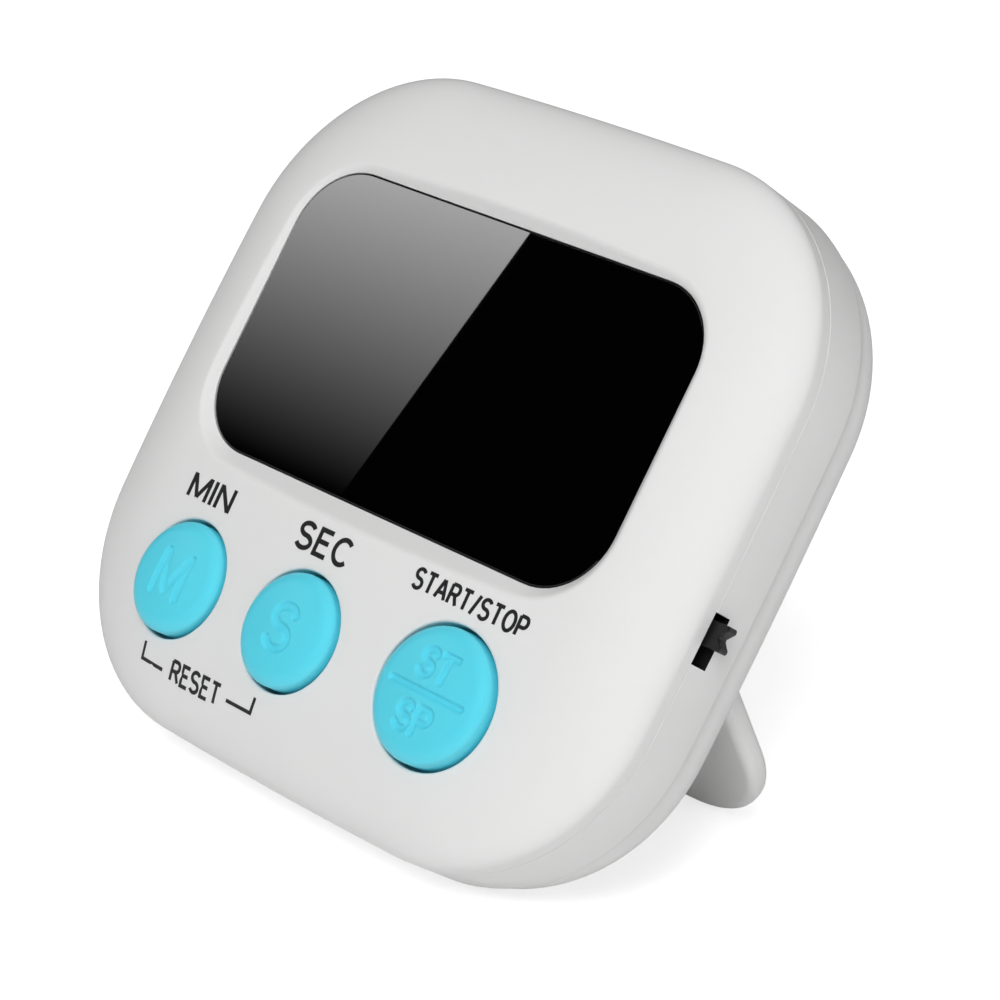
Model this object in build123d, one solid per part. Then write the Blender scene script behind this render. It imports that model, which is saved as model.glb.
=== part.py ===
from build123d import *
import math
import os

os.makedirs("parts", exist_ok=True)

# All sizes are in mm. Everything is modelled in the case's own frame, with X to the right,
# Y up the face, Z out of the face and the seam between the two shells at Z = 0, and is then
# stood on its stand by place_all().

# Case shells
CASE_W = 62.0
CASE_H = 60.0
CORNER_R = 17.0
SIDE_BOW = 0.7
FACE_Z = 6.3
DOME_RISE = 3.1
BACK_Z = -10.4
WALL = 2.0
SHOULDER_Z = 3.3
RAMP_SLOPE = 0.4
SHOULDER_R = 3.2
STEP_Z = -5.0
STEP_IN = 0.5
REAR_R = 4.0
LIP_T = 0.8
LIP_H = 1.0
LIP_GAP = 0.1

# Window and display
LENS_W = 45.8
LENS_H = 25.6
LENS_R = 6.0
LENS_Y = 6.15
LENS_T = 1.1
LENS_TOP = 4.7
LENS_GAP = 0.08
BEZEL_SLOPE = 1.15
VIEW_MARGIN = 4.0
FRAME_T = 0.7
FRAME_MARGIN = 2.0
GLASS_T = 0.55
FILM_T = 0.15
GLASS_W = 41.0
GLASS_H = 22.0
LEDGE_H = 2.0
FILM_MARGIN = 0.6
STACK_GAP = 0.05

# Circuit board
BOARD_T = 1.0
BOARD_GAP = 0.5
BOSS_GAP = 0.4

# Keys: name, X, Y, diameter
KEYS = [
    ("min", -15.95, -18.1, 9.6),
    ("sec", -1.85, -17.9, 9.6),
    ("start_stop", 14.3, -17.4, 11.1),
]
KEY_GAP = 0.3
KEY_PROUD = 1.25
KEY_CROWN = 0.8
KEY_EDGE_R = 0.45
KEY_TRAVEL = 0.5
SEAT_Z = 3.3
FLANGE_OUT = 0.8
FLANGE_T = 0.8
SEAT_GAP = 0.1
POCKET_GAP = 0.3
TACT_W = 4.5
TACT_H = 0.8
PLUNGER_R = 1.25
PLUNGER_GAP = 0.12
PLUNGER_DIP = 0.2

# On/off slide switch on the right side
SLOT_Y = -4.65
SLOT_L = 4.3
SLOT_H = 1.9
KNOB_Y = -4.1
KNOB_L = 2.1
KNOB_T = 1.3
KNOB_OUT = 1.4
KNOB_NOTCH = 0.55
KNOB_TRAVEL = 1.5
CARRIAGE_L = 4.4
CARRIAGE_W = 1.6
SWITCH_W = 3.6
SWITCH_WALL = 0.3
SWITCH_IN = 0.8
SWITCH_GAP = 0.15

# Stand flap
STAND_W = 55.0
STAND_T = 2.2
STAND_REACH = 19.4
STAND_R = 9.5
STAND_OPEN = 62.0
HINGE_Y = -6.2
HEEL_L = 1.5
HEEL_DROP = 0.15
HEEL_GAP = 0.05
STAND_GAP = 0.3
PIN_R = 0.8
PIN_L = 0.9
PIN_GAP = 0.06
RECESS_FLOOR_T = 1.6
POCKET_W = 14.0
POCKET_H = 4.0
POCKET_DEEP = 0.5

# Battery: LR44 cell behind a quarter-turn cover
CELL_X = -11.5
CELL_Y = 14.5
CELL_R = 5.8
CELL_H = 5.4
CELL_CAP_R = 4.8
CELL_CAP_H = 0.4
CELL_GAP = 0.4
CELL_TOP = -1.8
BAY_WALL = 1.3
COVER_R = 8.6
COVER_T = 1.4
COVER_GAP = 0.2
LUG_OUT = 1.0
LUG_T = 0.6
LUG_ARC = 40.0
LUG_GAP = 0.2
COVER_TURN = 60.0
COIN_L = 9.5
COIN_W = 1.6
COIN_DEEP = 0.7
CONTACT_T = 0.2

# Buzzer
BUZZER_X = 11.5
BUZZER_Y = 14.5
BUZZER_R = 7.5
BUZZER_T = 0.2
CERAMIC_R = 5.2
BUZZER_RING_W = 1.0
BUZZER_RING_H = 1.0
SOUND_HOLE_R = 0.6
SOUND_PITCH_R = 2.6
WIRE_R = 0.35

# Magnets
MAGNET_X = 16.5
MAGNET_Y = 0.8
MAGNET_R = 3.5
MAGNET_T = 2.0
MAGNET_GAP = 0.1
MAGNET_BACKING = 1.0

# Screws
CASE_SCREWS = [(-23.5, 19.5, False), (23.5, 19.5, False), (-21.5, -10.5, True), (21.5, -10.5, True)]
BOARD_SCREWS = [(-9.7, -12.0), (6.6, -11.2), (-13.0, 23.7), (13.0, 23.7)]
BOSS_R = 2.6
POST_R = 2.9
JOIN_Z = -3.0
SCREW_R = 1.0
SCREW_HEAD_R = 1.8
SCREW_HEAD_H = 1.3
SCREW_L = 9.0
SCREW_GAP = 0.05
HEAD_GAP = 0.3
HEAD_DEEP = 1.8
BOARD_POST_R = 1.8
BOARD_SCREW_R = 0.8
BOARD_HEAD_R = 1.5
BOARD_HEAD_H = 0.9
BOARD_SCREW_L = 2.8

# Small parts under the board: centres in X, Y
RESISTORS = [(-16.0, -9.0), (-16.0, -11.0), (10.0, -15.5), (10.0, -17.5), (13.0, -8.0)]
CAPACITORS = [(-2.0, -22.5), (4.0, -22.5), (19.0, -16.5)]
COIL = (17.0, 4.0)
CRYSTAL = (-7.0, -20.5)
CRYSTAL_R = 1.1
CRYSTAL_L = 6.0
BLOB = (1.5, -14.0, 0.0)
BLOB_R = 4.2
BLOB_H = 1.3

# Values that follow from the sizes above
DOME_R = (CASE_W**2 + CASE_H**2) / (8 * DOME_RISE)
MAGNET_BASE = BACK_Z + MAGNET_T + 0.15
SWITCH_LEN = CARRIAGE_L + KNOB_TRAVEL + 2 * SWITCH_GAP + 2 * SWITCH_WALL
SWITCH_Y = KNOB_Y - KNOB_TRAVEL / 2
SWITCH_X = CASE_W / 2 - WALL - SWITCH_IN
SWITCH_H = SLOT_H + 0.1
BOARD_TOP = BOARD_T
GLASS_BACK = LENS_TOP - LENS_T - FRAME_T
HINGE_Z = BACK_Z + STAND_T / 2
OPEN = math.radians(STAND_OPEN)
RECESS_Z = HINGE_Z + HEEL_L * math.sin(OPEN) - HEEL_DROP * math.cos(OPEN) + HEEL_GAP
BAY_R = CELL_R + CELL_GAP
COVER_SEAT = BACK_Z + COVER_T + 0.1
CELL_BASE = CELL_TOP - CELL_H
FLANGE_Z = SEAT_Z - SEAT_GAP - FLANGE_T
SOUND_WALL_Z = BACK_Z + WALL


def outline(inset=0.0):
    """Return the case outline, moved inward all round by the inset."""
    x = CASE_W / 2 - SIDE_BOW - inset
    y = CASE_H / 2 - SIDE_BOW - inset
    edges = [
        ThreePointArc((-x, -y), (0, -y - SIDE_BOW), (x, -y)),
        ThreePointArc((x, -y), (x + SIDE_BOW, 0), (x, y)),
        ThreePointArc((x, y), (0, y + SIDE_BOW), (-x, y)),
        ThreePointArc((-x, y), (-x - SIDE_BOW, 0), (-x, -y)),
    ]
    face = make_face(edges)
    return fillet(face.vertices(), CORNER_R - inset)


def slab(face, low, high):
    """Return the face extruded from one height to another."""
    return Pos(0, 0, low) * extrude(face, amount=high - low)


def rod(x, y, radius, low, high):
    """Return an upright cylinder between two heights."""
    return Pos(x, y, (low + high) / 2) * Cylinder(radius, high - low)


def block(x, y, z):
    """Return a box from three (low, high) pairs."""
    centre = Pos((x[0] + x[1]) / 2, (y[0] + y[1]) / 2, (z[0] + z[1]) / 2)
    return centre * Box(x[1] - x[0], y[1] - y[0], z[1] - z[0])


def face_height(x, y):
    """Return the height of the domed face over a point."""
    return FACE_Z - DOME_R + math.sqrt(DOME_R**2 - x**2 - y**2)


def cushion(inset=0.0, drop=0.0):
    """Return the front shell's domed form with its sloping rim, moved inward and lowered."""
    shoulder = SHOULDER_Z - drop
    run = (FACE_Z - shoulder) / RAMP_SLOPE
    wall = slab(outline(inset), 0, shoulder)
    ramp = loft([Pos(0, 0, shoulder) * outline(inset), Pos(0, 0, FACE_Z) * outline(inset + run)], ruled=True)
    return (wall + ramp) & (Pos(0, 0, FACE_Z - DOME_R) * Sphere(DOME_R - inset))


def front_form():
    """Return the outside of the front shell with its shoulder rounded."""
    body = cushion()
    level = [e for e in body.edges() if e.bounding_box().size.Z < 0.1]
    rim = [e for e in level if abs(e.center().Z - SHOULDER_Z) < 0.05]
    return fillet(rim, SHOULDER_R)


def lens_outline(grow=0.0):
    """Return the lens outline, grown all round."""
    shape = RectangleRounded(LENS_W + 2 * grow, LENS_H + 2 * grow, LENS_R + grow)
    return Pos(0, LENS_Y) * shape


def bezel_cutter():
    """Return the sloping funnel from the lens up through the face."""
    rise = FACE_Z + 0.5 - LENS_TOP
    low = Pos(0, 0, LENS_TOP) * lens_outline(LENS_GAP)
    high = Pos(0, 0, LENS_TOP + rise) * lens_outline(LENS_GAP + rise * BEZEL_SLOPE)
    return loft([low, high], ruled=True)


def lip():
    """Return the front shell's locating lip with a gap beside the slide switch."""
    outer = WALL + LIP_GAP
    ring = slab(outline(outer) - outline(outer + LIP_T), -LIP_H, 0)
    reach = CASE_W / 2
    gap = SWITCH_LEN / 2 + POCKET_GAP
    seat = slab(outline(WALL - 0.5) - outline(outer + LIP_T), 0, WALL)
    window = block((reach - 6, reach), (SWITCH_Y - gap, SWITCH_Y + gap), (-LIP_H, 0))
    return ring - window + seat


def front_housing():
    """Return the front shell with window, bezel, key guides, bosses and board posts."""
    form = front_form()
    shell = form - cushion(WALL, 0.8)
    frame = slab(lens_outline(FRAME_MARGIN), GLASS_BACK, FACE_Z) & form
    shell = shell + frame + lip()
    columns = [rod(x, y, BOSS_R, JOIN_Z, FACE_Z) for x, y, _ in CASE_SCREWS]
    columns += [rod(x, y, BOARD_POST_R, BOARD_TOP, FACE_Z) for x, y in BOARD_SCREWS]
    roof = slab(outline(WALL), JOIN_Z, 0) + form
    for column in columns:
        shell = shell + (column & roof)
    shell = shell - bezel_cutter()
    shell = shell - slab(lens_outline(LENS_GAP), LENS_TOP - LENS_T, FACE_Z)
    shell = shell - slab(lens_outline(-VIEW_MARGIN), 0, FACE_Z)
    for _, x, y, size in KEYS:
        shell = shell - rod(x, y, size / 2 + KEY_GAP, 0, FACE_Z)
        shell = shell - rod(x, y, size / 2 + FLANGE_OUT + POCKET_GAP, BOARD_TOP, SEAT_Z)
    for x, y, deep in CASE_SCREWS:
        shell = shell - rod(x, y, SCREW_R + SCREW_GAP, JOIN_Z, screw_seat(deep) + SCREW_L + 0.3)
    for x, y in BOARD_SCREWS:
        shell = shell - rod(x, y, BOARD_SCREW_R + SCREW_GAP, BOARD_TOP, BOARD_SCREW_L + 0.2)
    return shell


def screw_seat(deep):
    """Return the height of a case screw's seat, lower in the back or under the stand."""
    return (RECESS_Z + SCREW_HEAD_H + 0.1) if deep else (BACK_Z + HEAD_DEEP)


def rear_form(inset=0.0):
    """Return the rear shell's stepped form with a rounded back edge."""
    back = BACK_Z + inset
    pan = slab(outline(STEP_IN + inset), back, 0)
    base = pan.faces().sort_by(Axis.Z)[0]
    return fillet(base.edges(), REAR_R - inset)


def stand_outline(grow=0.0):
    """Return the folded flap's outline, grown all round."""
    top = HINGE_Y + grow
    bottom = HINGE_Y - STAND_REACH - grow
    half = STAND_W / 2 + grow
    shape = Pos(0, (top + bottom) / 2) * Rectangle(2 * half, top - bottom)
    low = shape.vertices().sort_by(Axis.Y)[:2]
    return fillet(low, STAND_R + grow)


def stand_recess():
    """Return the pocket in the back for the folded flap and its heel."""
    heel = math.hypot(HEEL_L, STAND_T / 2) + STAND_GAP
    half = STAND_W / 2 + STAND_GAP
    pocket = slab(stand_outline(STAND_GAP), BACK_Z - 1, RECESS_Z)
    top = block((-half, half), (HINGE_Y - STAND_T, HINGE_Y + heel), (BACK_Z - 1, RECESS_Z))
    pins = Pos(0, HINGE_Y, HINGE_Z) * Rot(0, 90, 0) * Cylinder(PIN_R + PIN_GAP, pin_span() + 0.4)
    return pocket + top + pins


def pin_span():
    """Return the length over both hinge pins."""
    return STAND_W + 2 * STAND_GAP + 2 * PIN_L


def sector(radius, inner, low, high, angle, arc):
    """Return a pair of opposite ring sectors centred on an angle."""
    ring = rod(0, 0, radius, low, high) - rod(0, 0, inner, low, high)
    reach = 2 * radius
    half = math.radians(arc / 2)
    tip = (reach * math.cos(half), reach * math.sin(half))
    wedge = make_face(Polyline((0, 0), tip, (tip[0], -tip[1]), (0, 0)))
    piece = ring & slab(wedge, low, high)
    return [Pos(CELL_X, CELL_Y, 0) * Rot(0, 0, angle + turn) * piece for turn in (0, 180)]


def battery_bay_cuts():
    """Return the cell's bore, the cover's seat and the bayonet groove with its entries."""
    groove_r = BAY_R - COVER_GAP + LUG_OUT + LUG_GAP
    top = lug_base() + LUG_T + LUG_GAP
    bore = rod(CELL_X, CELL_Y, BAY_R, BACK_Z - 1, CELL_TOP)
    seat = rod(CELL_X, CELL_Y, COVER_R + COVER_GAP, BACK_Z - 1, COVER_SEAT)
    groove = rod(CELL_X, CELL_Y, groove_r, lug_base() - LUG_GAP, top)
    entry_r = groove_r - LUG_GAP / 2
    entries = sector(entry_r, BAY_R - 0.5, COVER_SEAT - 0.1, lug_base(), COVER_TURN, LUG_ARC + 8)
    return [bore, seat, groove] + entries


def lug_base():
    """Return the height of the underside of the cover's lugs."""
    return COVER_SEAT + 0.8 + LUG_GAP


def sound_holes():
    """Return the sound holes over the buzzer."""
    holes = rod(BUZZER_X, BUZZER_Y, SOUND_HOLE_R, BACK_Z - 1, SOUND_WALL_Z + 1)
    for step in range(6):
        angle = math.radians(60 * step)
        x = BUZZER_X + SOUND_PITCH_R * math.cos(angle)
        y = BUZZER_Y + SOUND_PITCH_R * math.sin(angle)
        holes = holes + rod(x, y, SOUND_HOLE_R, BACK_Z - 1, SOUND_WALL_Z + 1)
    return holes


def rear_housing():
    """Return the rear shell with stand recess, battery bay, buzzer seat and screw posts."""
    form = slab(outline(), STEP_Z, 0) + rear_form()
    shell = form - rear_form(WALL) - slab(outline(WALL), STEP_Z + WALL, 0)
    inside = slab(outline(WALL), BACK_Z, 0) & form
    recess_block = block((-CASE_W, CASE_W), (-CASE_H, HINGE_Y + 4.0), (BACK_Z, RECESS_Z + RECESS_FLOOR_T))
    shell = shell + (recess_block & form)
    for x, y, _ in CASE_SCREWS:
        shell = shell + (rod(x, y, POST_R, BACK_Z + WALL, JOIN_Z) & inside)
    shell = shell + rod(CELL_X, CELL_Y, BAY_R + LUG_OUT + BAY_WALL, BACK_Z + 0.5, CELL_TOP - 0.4)
    seat = rod(BUZZER_X, BUZZER_Y, BUZZER_R, SOUND_WALL_Z, SOUND_WALL_Z + BUZZER_RING_H)
    shell = shell + seat - rod(BUZZER_X, BUZZER_Y, BUZZER_R - BUZZER_RING_W, SOUND_WALL_Z, 0)
    for side in (-1, 1):
        backing_r = MAGNET_R + MAGNET_BACKING
        shell = shell + rod(side * MAGNET_X, MAGNET_Y, backing_r, BACK_Z + 0.5, MAGNET_BASE + MAGNET_BACKING)
    shell = shell - stand_recess() - sound_holes()
    for cut in battery_bay_cuts():
        shell = shell - cut
    for side in (-1, 1):
        shell = shell - rod(side * MAGNET_X, MAGNET_Y, MAGNET_R + MAGNET_GAP, BACK_Z - 1, MAGNET_BASE)
    for x, y, deep in CASE_SCREWS:
        shell = shell - rod(x, y, SCREW_HEAD_R + HEAD_GAP, BACK_Z - 1, screw_seat(deep))
        shell = shell - rod(x, y, SCREW_R + SCREW_GAP, BACK_Z, JOIN_Z)
    slot_y = (SLOT_Y - SLOT_L / 2, SLOT_Y + SLOT_L / 2)
    shell = shell - block((CASE_W / 2 - 4, CASE_W / 2 + 1), slot_y, (-SLOT_H, 0))
    clip = Pos(CELL_X, CELL_Y, 0) * block((BAY_R - 0.5, BAY_R + 4), (-2, 2), (CELL_BASE + 1, 0))
    return shell - clip


def display_lens():
    """Return the window's lens."""
    lens = slab(lens_outline(), LENS_TOP - LENS_T, LENS_TOP)
    rim = [e for e in lens.edges() if abs(e.center().Z - LENS_TOP) < 0.01]
    return chamfer(rim, 0.15)


def display_layers():
    """Return the display's films and glasses and the elastomer connector below its ledge."""
    half = GLASS_W / 2
    low = LENS_Y - GLASS_H / 2
    high = LENS_Y + GLASS_H / 2
    film = (low + FILM_MARGIN, high - LEDGE_H - FILM_MARGIN)
    top = GLASS_BACK - STACK_GAP
    span = (-half, half)
    film_x = (-half + FILM_MARGIN, half - FILM_MARGIN)
    z1 = top - FILM_T
    z2 = z1 - GLASS_T
    z3 = z2 - GLASS_T
    return {
        "lcd_front_polariser": block(film_x, film, (z1, top)),
        "lcd_front_glass": block(span, (low, high), (z2, z1)),
        "lcd_rear_glass": block(span, (low, high - LEDGE_H), (z3, z2)),
        "lcd_rear_polariser": block(film_x, film, (z3 - FILM_T, z3)),
        "elastomer_connector": block(film_x, (high - LEDGE_H + 0.2, high), (BOARD_TOP, z2)),
    }


def circuit_board():
    """Return the board with notches round the bosses and holes for its screws."""
    board = slab(outline(WALL + LIP_GAP + LIP_T + BOARD_GAP), 0, BOARD_T)
    for x, y, _ in CASE_SCREWS:
        board = board - rod(x, y, BOSS_R + BOSS_GAP, -1, BOARD_T + 1)
    for x, y in BOARD_SCREWS:
        board = board - rod(x, y, BOARD_SCREW_R + SCREW_GAP, -1, BOARD_T + 1)
    return board


def key_cap(x, y, size):
    """Return a domed key with its retaining flange."""
    radius = size / 2
    crown = face_height(x, y) + KEY_PROUD
    ball = (radius**2 + KEY_CROWN**2) / (2 * KEY_CROWN)
    stem = rod(0, 0, radius, FLANGE_Z, crown)
    stem = stem & (Pos(0, 0, crown - ball) * Sphere(ball))
    rim = [e for e in stem.edges() if abs(e.center().Z - crown + KEY_CROWN) < 0.1]
    cap = fillet(rim, KEY_EDGE_R)
    cap = cap + rod(0, 0, radius + FLANGE_OUT, FLANGE_Z, FLANGE_Z + FLANGE_T)
    return Pos(x, y, 0) * cap


def key_plunger(x, y):
    """Return the switch plunger under a key."""
    return rod(x, y, PLUNGER_R, BOARD_TOP + KEY_TRAVEL + 0.1, FLANGE_Z)


def switch_bodies():
    """Return the three push-switch bodies on the board."""
    half = TACT_W / 2
    bodies = []
    for _, x, y, _ in KEYS:
        body = block((x - half, x + half), (y - half, y + half), (BOARD_TOP, BOARD_TOP + TACT_H))
        bodies.append(body - rod(x, y, PLUNGER_R + PLUNGER_GAP, 0, BOARD_TOP + TACT_H))
    return bodies


def switch_shell():
    """Return the slide switch's open-fronted shell under the board."""
    low = SWITCH_X - SWITCH_W
    half = SWITCH_LEN / 2
    shell = block((low, SWITCH_X), (SWITCH_Y - half, SWITCH_Y + half), (-SWITCH_H, 0))
    inner = half - SWITCH_WALL
    cavity_z = (-SWITCH_H + SWITCH_WALL, -SWITCH_WALL)
    cavity = block((low + SWITCH_WALL, SWITCH_X - SWITCH_WALL), (SWITCH_Y - inner, SWITCH_Y + inner), cavity_z)
    reach = (KNOB_L + KNOB_TRAVEL) / 2 + SWITCH_GAP
    mouth = block((SWITCH_X - 1, SWITCH_X + 1), (SWITCH_Y - reach, SWITCH_Y + reach), cavity_z)
    return shell - cavity - mouth


def switch_knob():
    """Return the knob with its carriage and notched end."""
    mid = -SWITCH_H / 2
    half = KNOB_T / 2 - 0.05
    end = CASE_W / 2 + KNOB_OUT
    inner = SWITCH_X - SWITCH_WALL - SWITCH_GAP
    stem = block((inner - 0.5, end), (KNOB_Y - KNOB_L / 2, KNOB_Y + KNOB_L / 2), (mid - half, mid + half))
    carriage_y = (KNOB_Y - CARRIAGE_L / 2, KNOB_Y + CARRIAGE_L / 2)
    carriage = block((inner - CARRIAGE_W, inner), carriage_y, (mid - half, mid + half))
    mouth = KNOB_L * 0.3
    points = ((end, KNOB_Y - mouth), (end - KNOB_NOTCH, KNOB_Y), (end, KNOB_Y + mouth))
    notch = make_face(Polyline(*points, points[0]))
    return stem + carriage - slab(notch, mid - 1, mid + 1)


def switch_terminals():
    """Return the slide switch's solder terminals."""
    back = SWITCH_X - SWITCH_W
    pitch = SWITCH_LEN / 4
    rows = [SWITCH_Y + step * pitch for step in (-1, 0, 1)]
    return [block((back - 1.0, back), (y - 0.3, y + 0.3), (-0.25, 0)) for y in rows]


def stand():
    """Return the folded flap with its barrel, heel, pins and finger pocket."""
    flap = slab(stand_outline(), BACK_Z, BACK_Z + STAND_T)
    tip = [e for e in flap.edges() if e.center().Y < HINGE_Y - STAND_REACH * 0.4 and not is_upright(e)]
    flap = fillet(tip, STAND_T * 0.42)
    barrel = Pos(0, HINGE_Y, HINGE_Z) * Rot(0, 90, 0) * Cylinder(STAND_T / 2, STAND_W)
    half = STAND_W / 2
    heel_z = (HINGE_Z - STAND_T / 2, HINGE_Z - HEEL_DROP)
    heel = block((-half, half), (HINGE_Y, HINGE_Y + HEEL_L), heel_z)
    pins = Pos(0, HINGE_Y, HINGE_Z) * Rot(0, 90, 0) * Cylinder(PIN_R, pin_span())
    y = HINGE_Y - STAND_REACH + POCKET_H
    face = Pos(0, y) * RectangleRounded(POCKET_W, POCKET_H, POCKET_H * 0.45)
    pocket = slab(face, BACK_Z + STAND_T - POCKET_DEEP, BACK_Z + STAND_T + 1)
    return flap + barrel + heel + pins - pocket


def is_upright(edge):
    """Tell whether an edge runs along Z."""
    span = edge.bounding_box().size
    return span.Z > max(span.X, span.Y)


def open_stand(solid):
    """Return the folded flap swung out to where its heel stops it."""
    hinge = Pos(0, HINGE_Y, HINGE_Z)
    return hinge * Rot(STAND_OPEN, 0, 0) * hinge.inverse() * solid


def battery_cover():
    """Return the quarter-turn cover with its lugs and coin slot."""
    base = BACK_Z + 0.05
    plate = rod(CELL_X, CELL_Y, COVER_R, base, COVER_SEAT - 0.05)
    rim = [e for e in plate.edges() if e.center().Z < base + 0.1 and e.geom_type == GeomType.CIRCLE]
    plate = chamfer(rim, 0.25)
    hub_r = BAY_R - COVER_GAP
    hub = rod(CELL_X, CELL_Y, hub_r, COVER_SEAT - 0.05, lug_base() + LUG_T)
    lugs = sector(hub_r + LUG_OUT, hub_r - 0.5, lug_base(), lug_base() + LUG_T, 0, LUG_ARC)
    coin = Pos(CELL_X, CELL_Y) * Rot(0, 0, 90) * SlotOverall(COIN_L, COIN_W)
    cover = plate + hub - slab(coin, BACK_Z - 1, BACK_Z + COIN_DEEP)
    for lug in lugs:
        cover = cover + lug
    return cover


def button_cell():
    """Return the cell with its smaller negative cap towards the board."""
    step = CELL_TOP - CELL_CAP_H
    return rod(CELL_X, CELL_Y, CELL_R, CELL_BASE, step) + rod(CELL_X, CELL_Y, CELL_CAP_R, step, CELL_TOP)


def negative_contact():
    """Return the sprung leaf between the board and the cell's cap."""
    low = CELL_TOP + 0.03
    points = [(3.6, 0), (3.6, -CONTACT_T), (2.4, -CONTACT_T), (-2.0, low), (-3.4, low)]
    points += [(-3.4, low + CONTACT_T), (-1.9, low + CONTACT_T), (2.2, 0), (3.6, 0)]
    leaf = extrude(Plane.XZ * make_face(Polyline(*points)), amount=1.5, both=True)
    return Pos(CELL_X, CELL_Y, 0) * leaf


def positive_contact():
    """Return the clip that touches the side of the cell."""
    near = CELL_R + 0.03
    upright = block((near, near + CONTACT_T), (-1.5, 1.5), (CELL_BASE + 1.4, 0))
    foot = block((near, near + 2.4), (-1.5, 1.5), (-CONTACT_T, 0))
    return Pos(CELL_X, CELL_Y, 0) * (upright + foot)


def buzzer_parts():
    """Return the buzzer's brass disc and its ceramic layer."""
    seat = SOUND_WALL_Z + BUZZER_RING_H
    top = seat + BUZZER_T
    return {
        "buzzer_disc": rod(BUZZER_X, BUZZER_Y, BUZZER_R, seat, top),
        "buzzer_ceramic": rod(BUZZER_X, BUZZER_Y, CERAMIC_R, top, top + BUZZER_T),
    }


def wire(start, end):
    """Return a wire that leaves upward from one point and rises into another."""
    path = Spline([start, end], tangents=[(0, 0, 1), (0, 0, 1)], tangent_scalars=[1.4, 1.4])
    return sweep(Plane(origin=start, z_dir=(0, 0, 1)) * Circle(WIRE_R), path=path)


def buzzer_wires():
    """Return the two wires from the buzzer to the board."""
    top = SOUND_WALL_Z + BUZZER_RING_H + BUZZER_T
    edge_y = BUZZER_Y - BUZZER_R + 1.0
    first = wire((BUZZER_X, edge_y, top), (BUZZER_X + 3.0, edge_y - 4.0, 0))
    second = wire((BUZZER_X, BUZZER_Y - 2.0, top + BUZZER_T), (BUZZER_X - 3.0, edge_y - 3.0, 0))
    return [first, second]


def case_screws():
    """Return the four screws that hold the shells together."""
    screws = []
    for x, y, deep in CASE_SCREWS:
        seat = screw_seat(deep)
        screw = rod(x, y, SCREW_HEAD_R, seat - SCREW_HEAD_H, seat) + rod(x, y, SCREW_R, seat, seat + SCREW_L)
        screws.append(screw - cross(x, y, seat - SCREW_HEAD_H, SCREW_HEAD_R))
    return screws


def board_screws():
    """Return the four screws that hold the board to its posts."""
    screws = []
    for x, y in BOARD_SCREWS:
        screw = rod(x, y, BOARD_HEAD_R, -BOARD_HEAD_H, 0) + rod(x, y, BOARD_SCREW_R, 0, BOARD_SCREW_L)
        screws.append(screw - cross(x, y, -BOARD_HEAD_H, BOARD_HEAD_R))
    return screws


def cross(x, y, low, radius):
    """Return a cross-shaped driver recess in a screw head."""
    arm = radius * 0.65
    thin = radius * 0.16
    deep = radius * 0.4
    bar = block((-arm, arm), (-thin, thin), (-deep, deep))
    return Pos(x, y, low) * (bar + Rot(0, 0, 90) * bar)


def board_parts():
    """Return the small parts soldered under the board."""
    cap_r = (BLOB_R**2 + BLOB_H**2) / (2 * BLOB_H)
    drop = Pos(0, 0, cap_r - BLOB_H) * Sphere(cap_r)
    blob = Pos(*BLOB) * (drop & rod(0, 0, BLOB_R, -BLOB_H - 1, 0))
    can = Pos(CRYSTAL[0], CRYSTAL[1], -CRYSTAL_R) * Rot(0, 90, 0) * Cylinder(CRYSTAL_R, CRYSTAL_L)
    resistors = [block((x - 0.8, x + 0.8), (y - 0.4, y + 0.4), (-0.5, 0)) for x, y in RESISTORS]
    capacitors = [block((x - 1.0, x + 1.0), (y - 0.6, y + 0.6), (-1.0, 0)) for x, y in CAPACITORS]
    coil = rod(*COIL, 2.0, -0.4, 0) + rod(*COIL, 1.5, -1.9, -0.4) + rod(*COIL, 2.0, -2.3, -1.9)
    return {
        "chip_blob": blob,
        "crystal": can,
        "resistors": resistors,
        "capacitors": capacitors,
        "coil": coil,
    }


def magnets():
    """Return the two disc magnets in the back."""
    return [rod(side * MAGNET_X, MAGNET_Y, MAGNET_R, BACK_Z + 0.05, BACK_Z + 0.05 + MAGNET_T) for side in (-1, 1)]


def build_nodes():
    """Return every node's solids in the case's own frame."""
    nodes = {
        "front_housing": front_housing(),
        "rear_housing": rear_housing(),
        "display_lens": display_lens(),
        "circuit_board": circuit_board(),
        "push_switch_bodies": switch_bodies(),
        "slide_switch_shell": switch_shell(),
        "slide_switch_terminals": switch_terminals(),
        "slide_switch_knob": switch_knob(),
        "stand": open_stand(stand()),
        "battery_cover": battery_cover(),
        "button_cell": button_cell(),
        "negative_contact": negative_contact(),
        "positive_contact": positive_contact(),
        "buzzer_wires": buzzer_wires(),
        "case_screws": case_screws(),
        "board_screws": board_screws(),
        "magnets": magnets(),
    }
    nodes.update(display_layers())
    nodes.update(buzzer_parts())
    nodes.update(board_parts())
    for name, x, y, size in KEYS:
        nodes[name + "_key"] = key_cap(x, y, size)
        nodes[name + "_plunger"] = key_plunger(x, y)
    return nodes


def lean_angle():
    """Return the lean, in degrees, at which the back edge and the stand's tip share a floor."""
    edge_y = -CASE_H / 2 + STEP_IN + REAR_R
    edge_z = BACK_Z + REAR_R
    reach = STAND_REACH - STAND_T / 2
    tip_y = HINGE_Y - reach * math.cos(OPEN)
    tip_z = HINGE_Z - reach * math.sin(OPEN)
    span = math.hypot(edge_y - tip_y, edge_z - tip_z)
    toward = math.atan2(edge_z - tip_z, edge_y - tip_y)
    return math.degrees(toward - math.acos((REAR_R - STAND_T / 2) / span))


def as_solids(shape):
    """Return the solids of one shape or of a list of shapes."""
    shapes = shape if isinstance(shape, list) else [shape]
    return [solid for item in shapes for solid in item.solids()]


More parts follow.
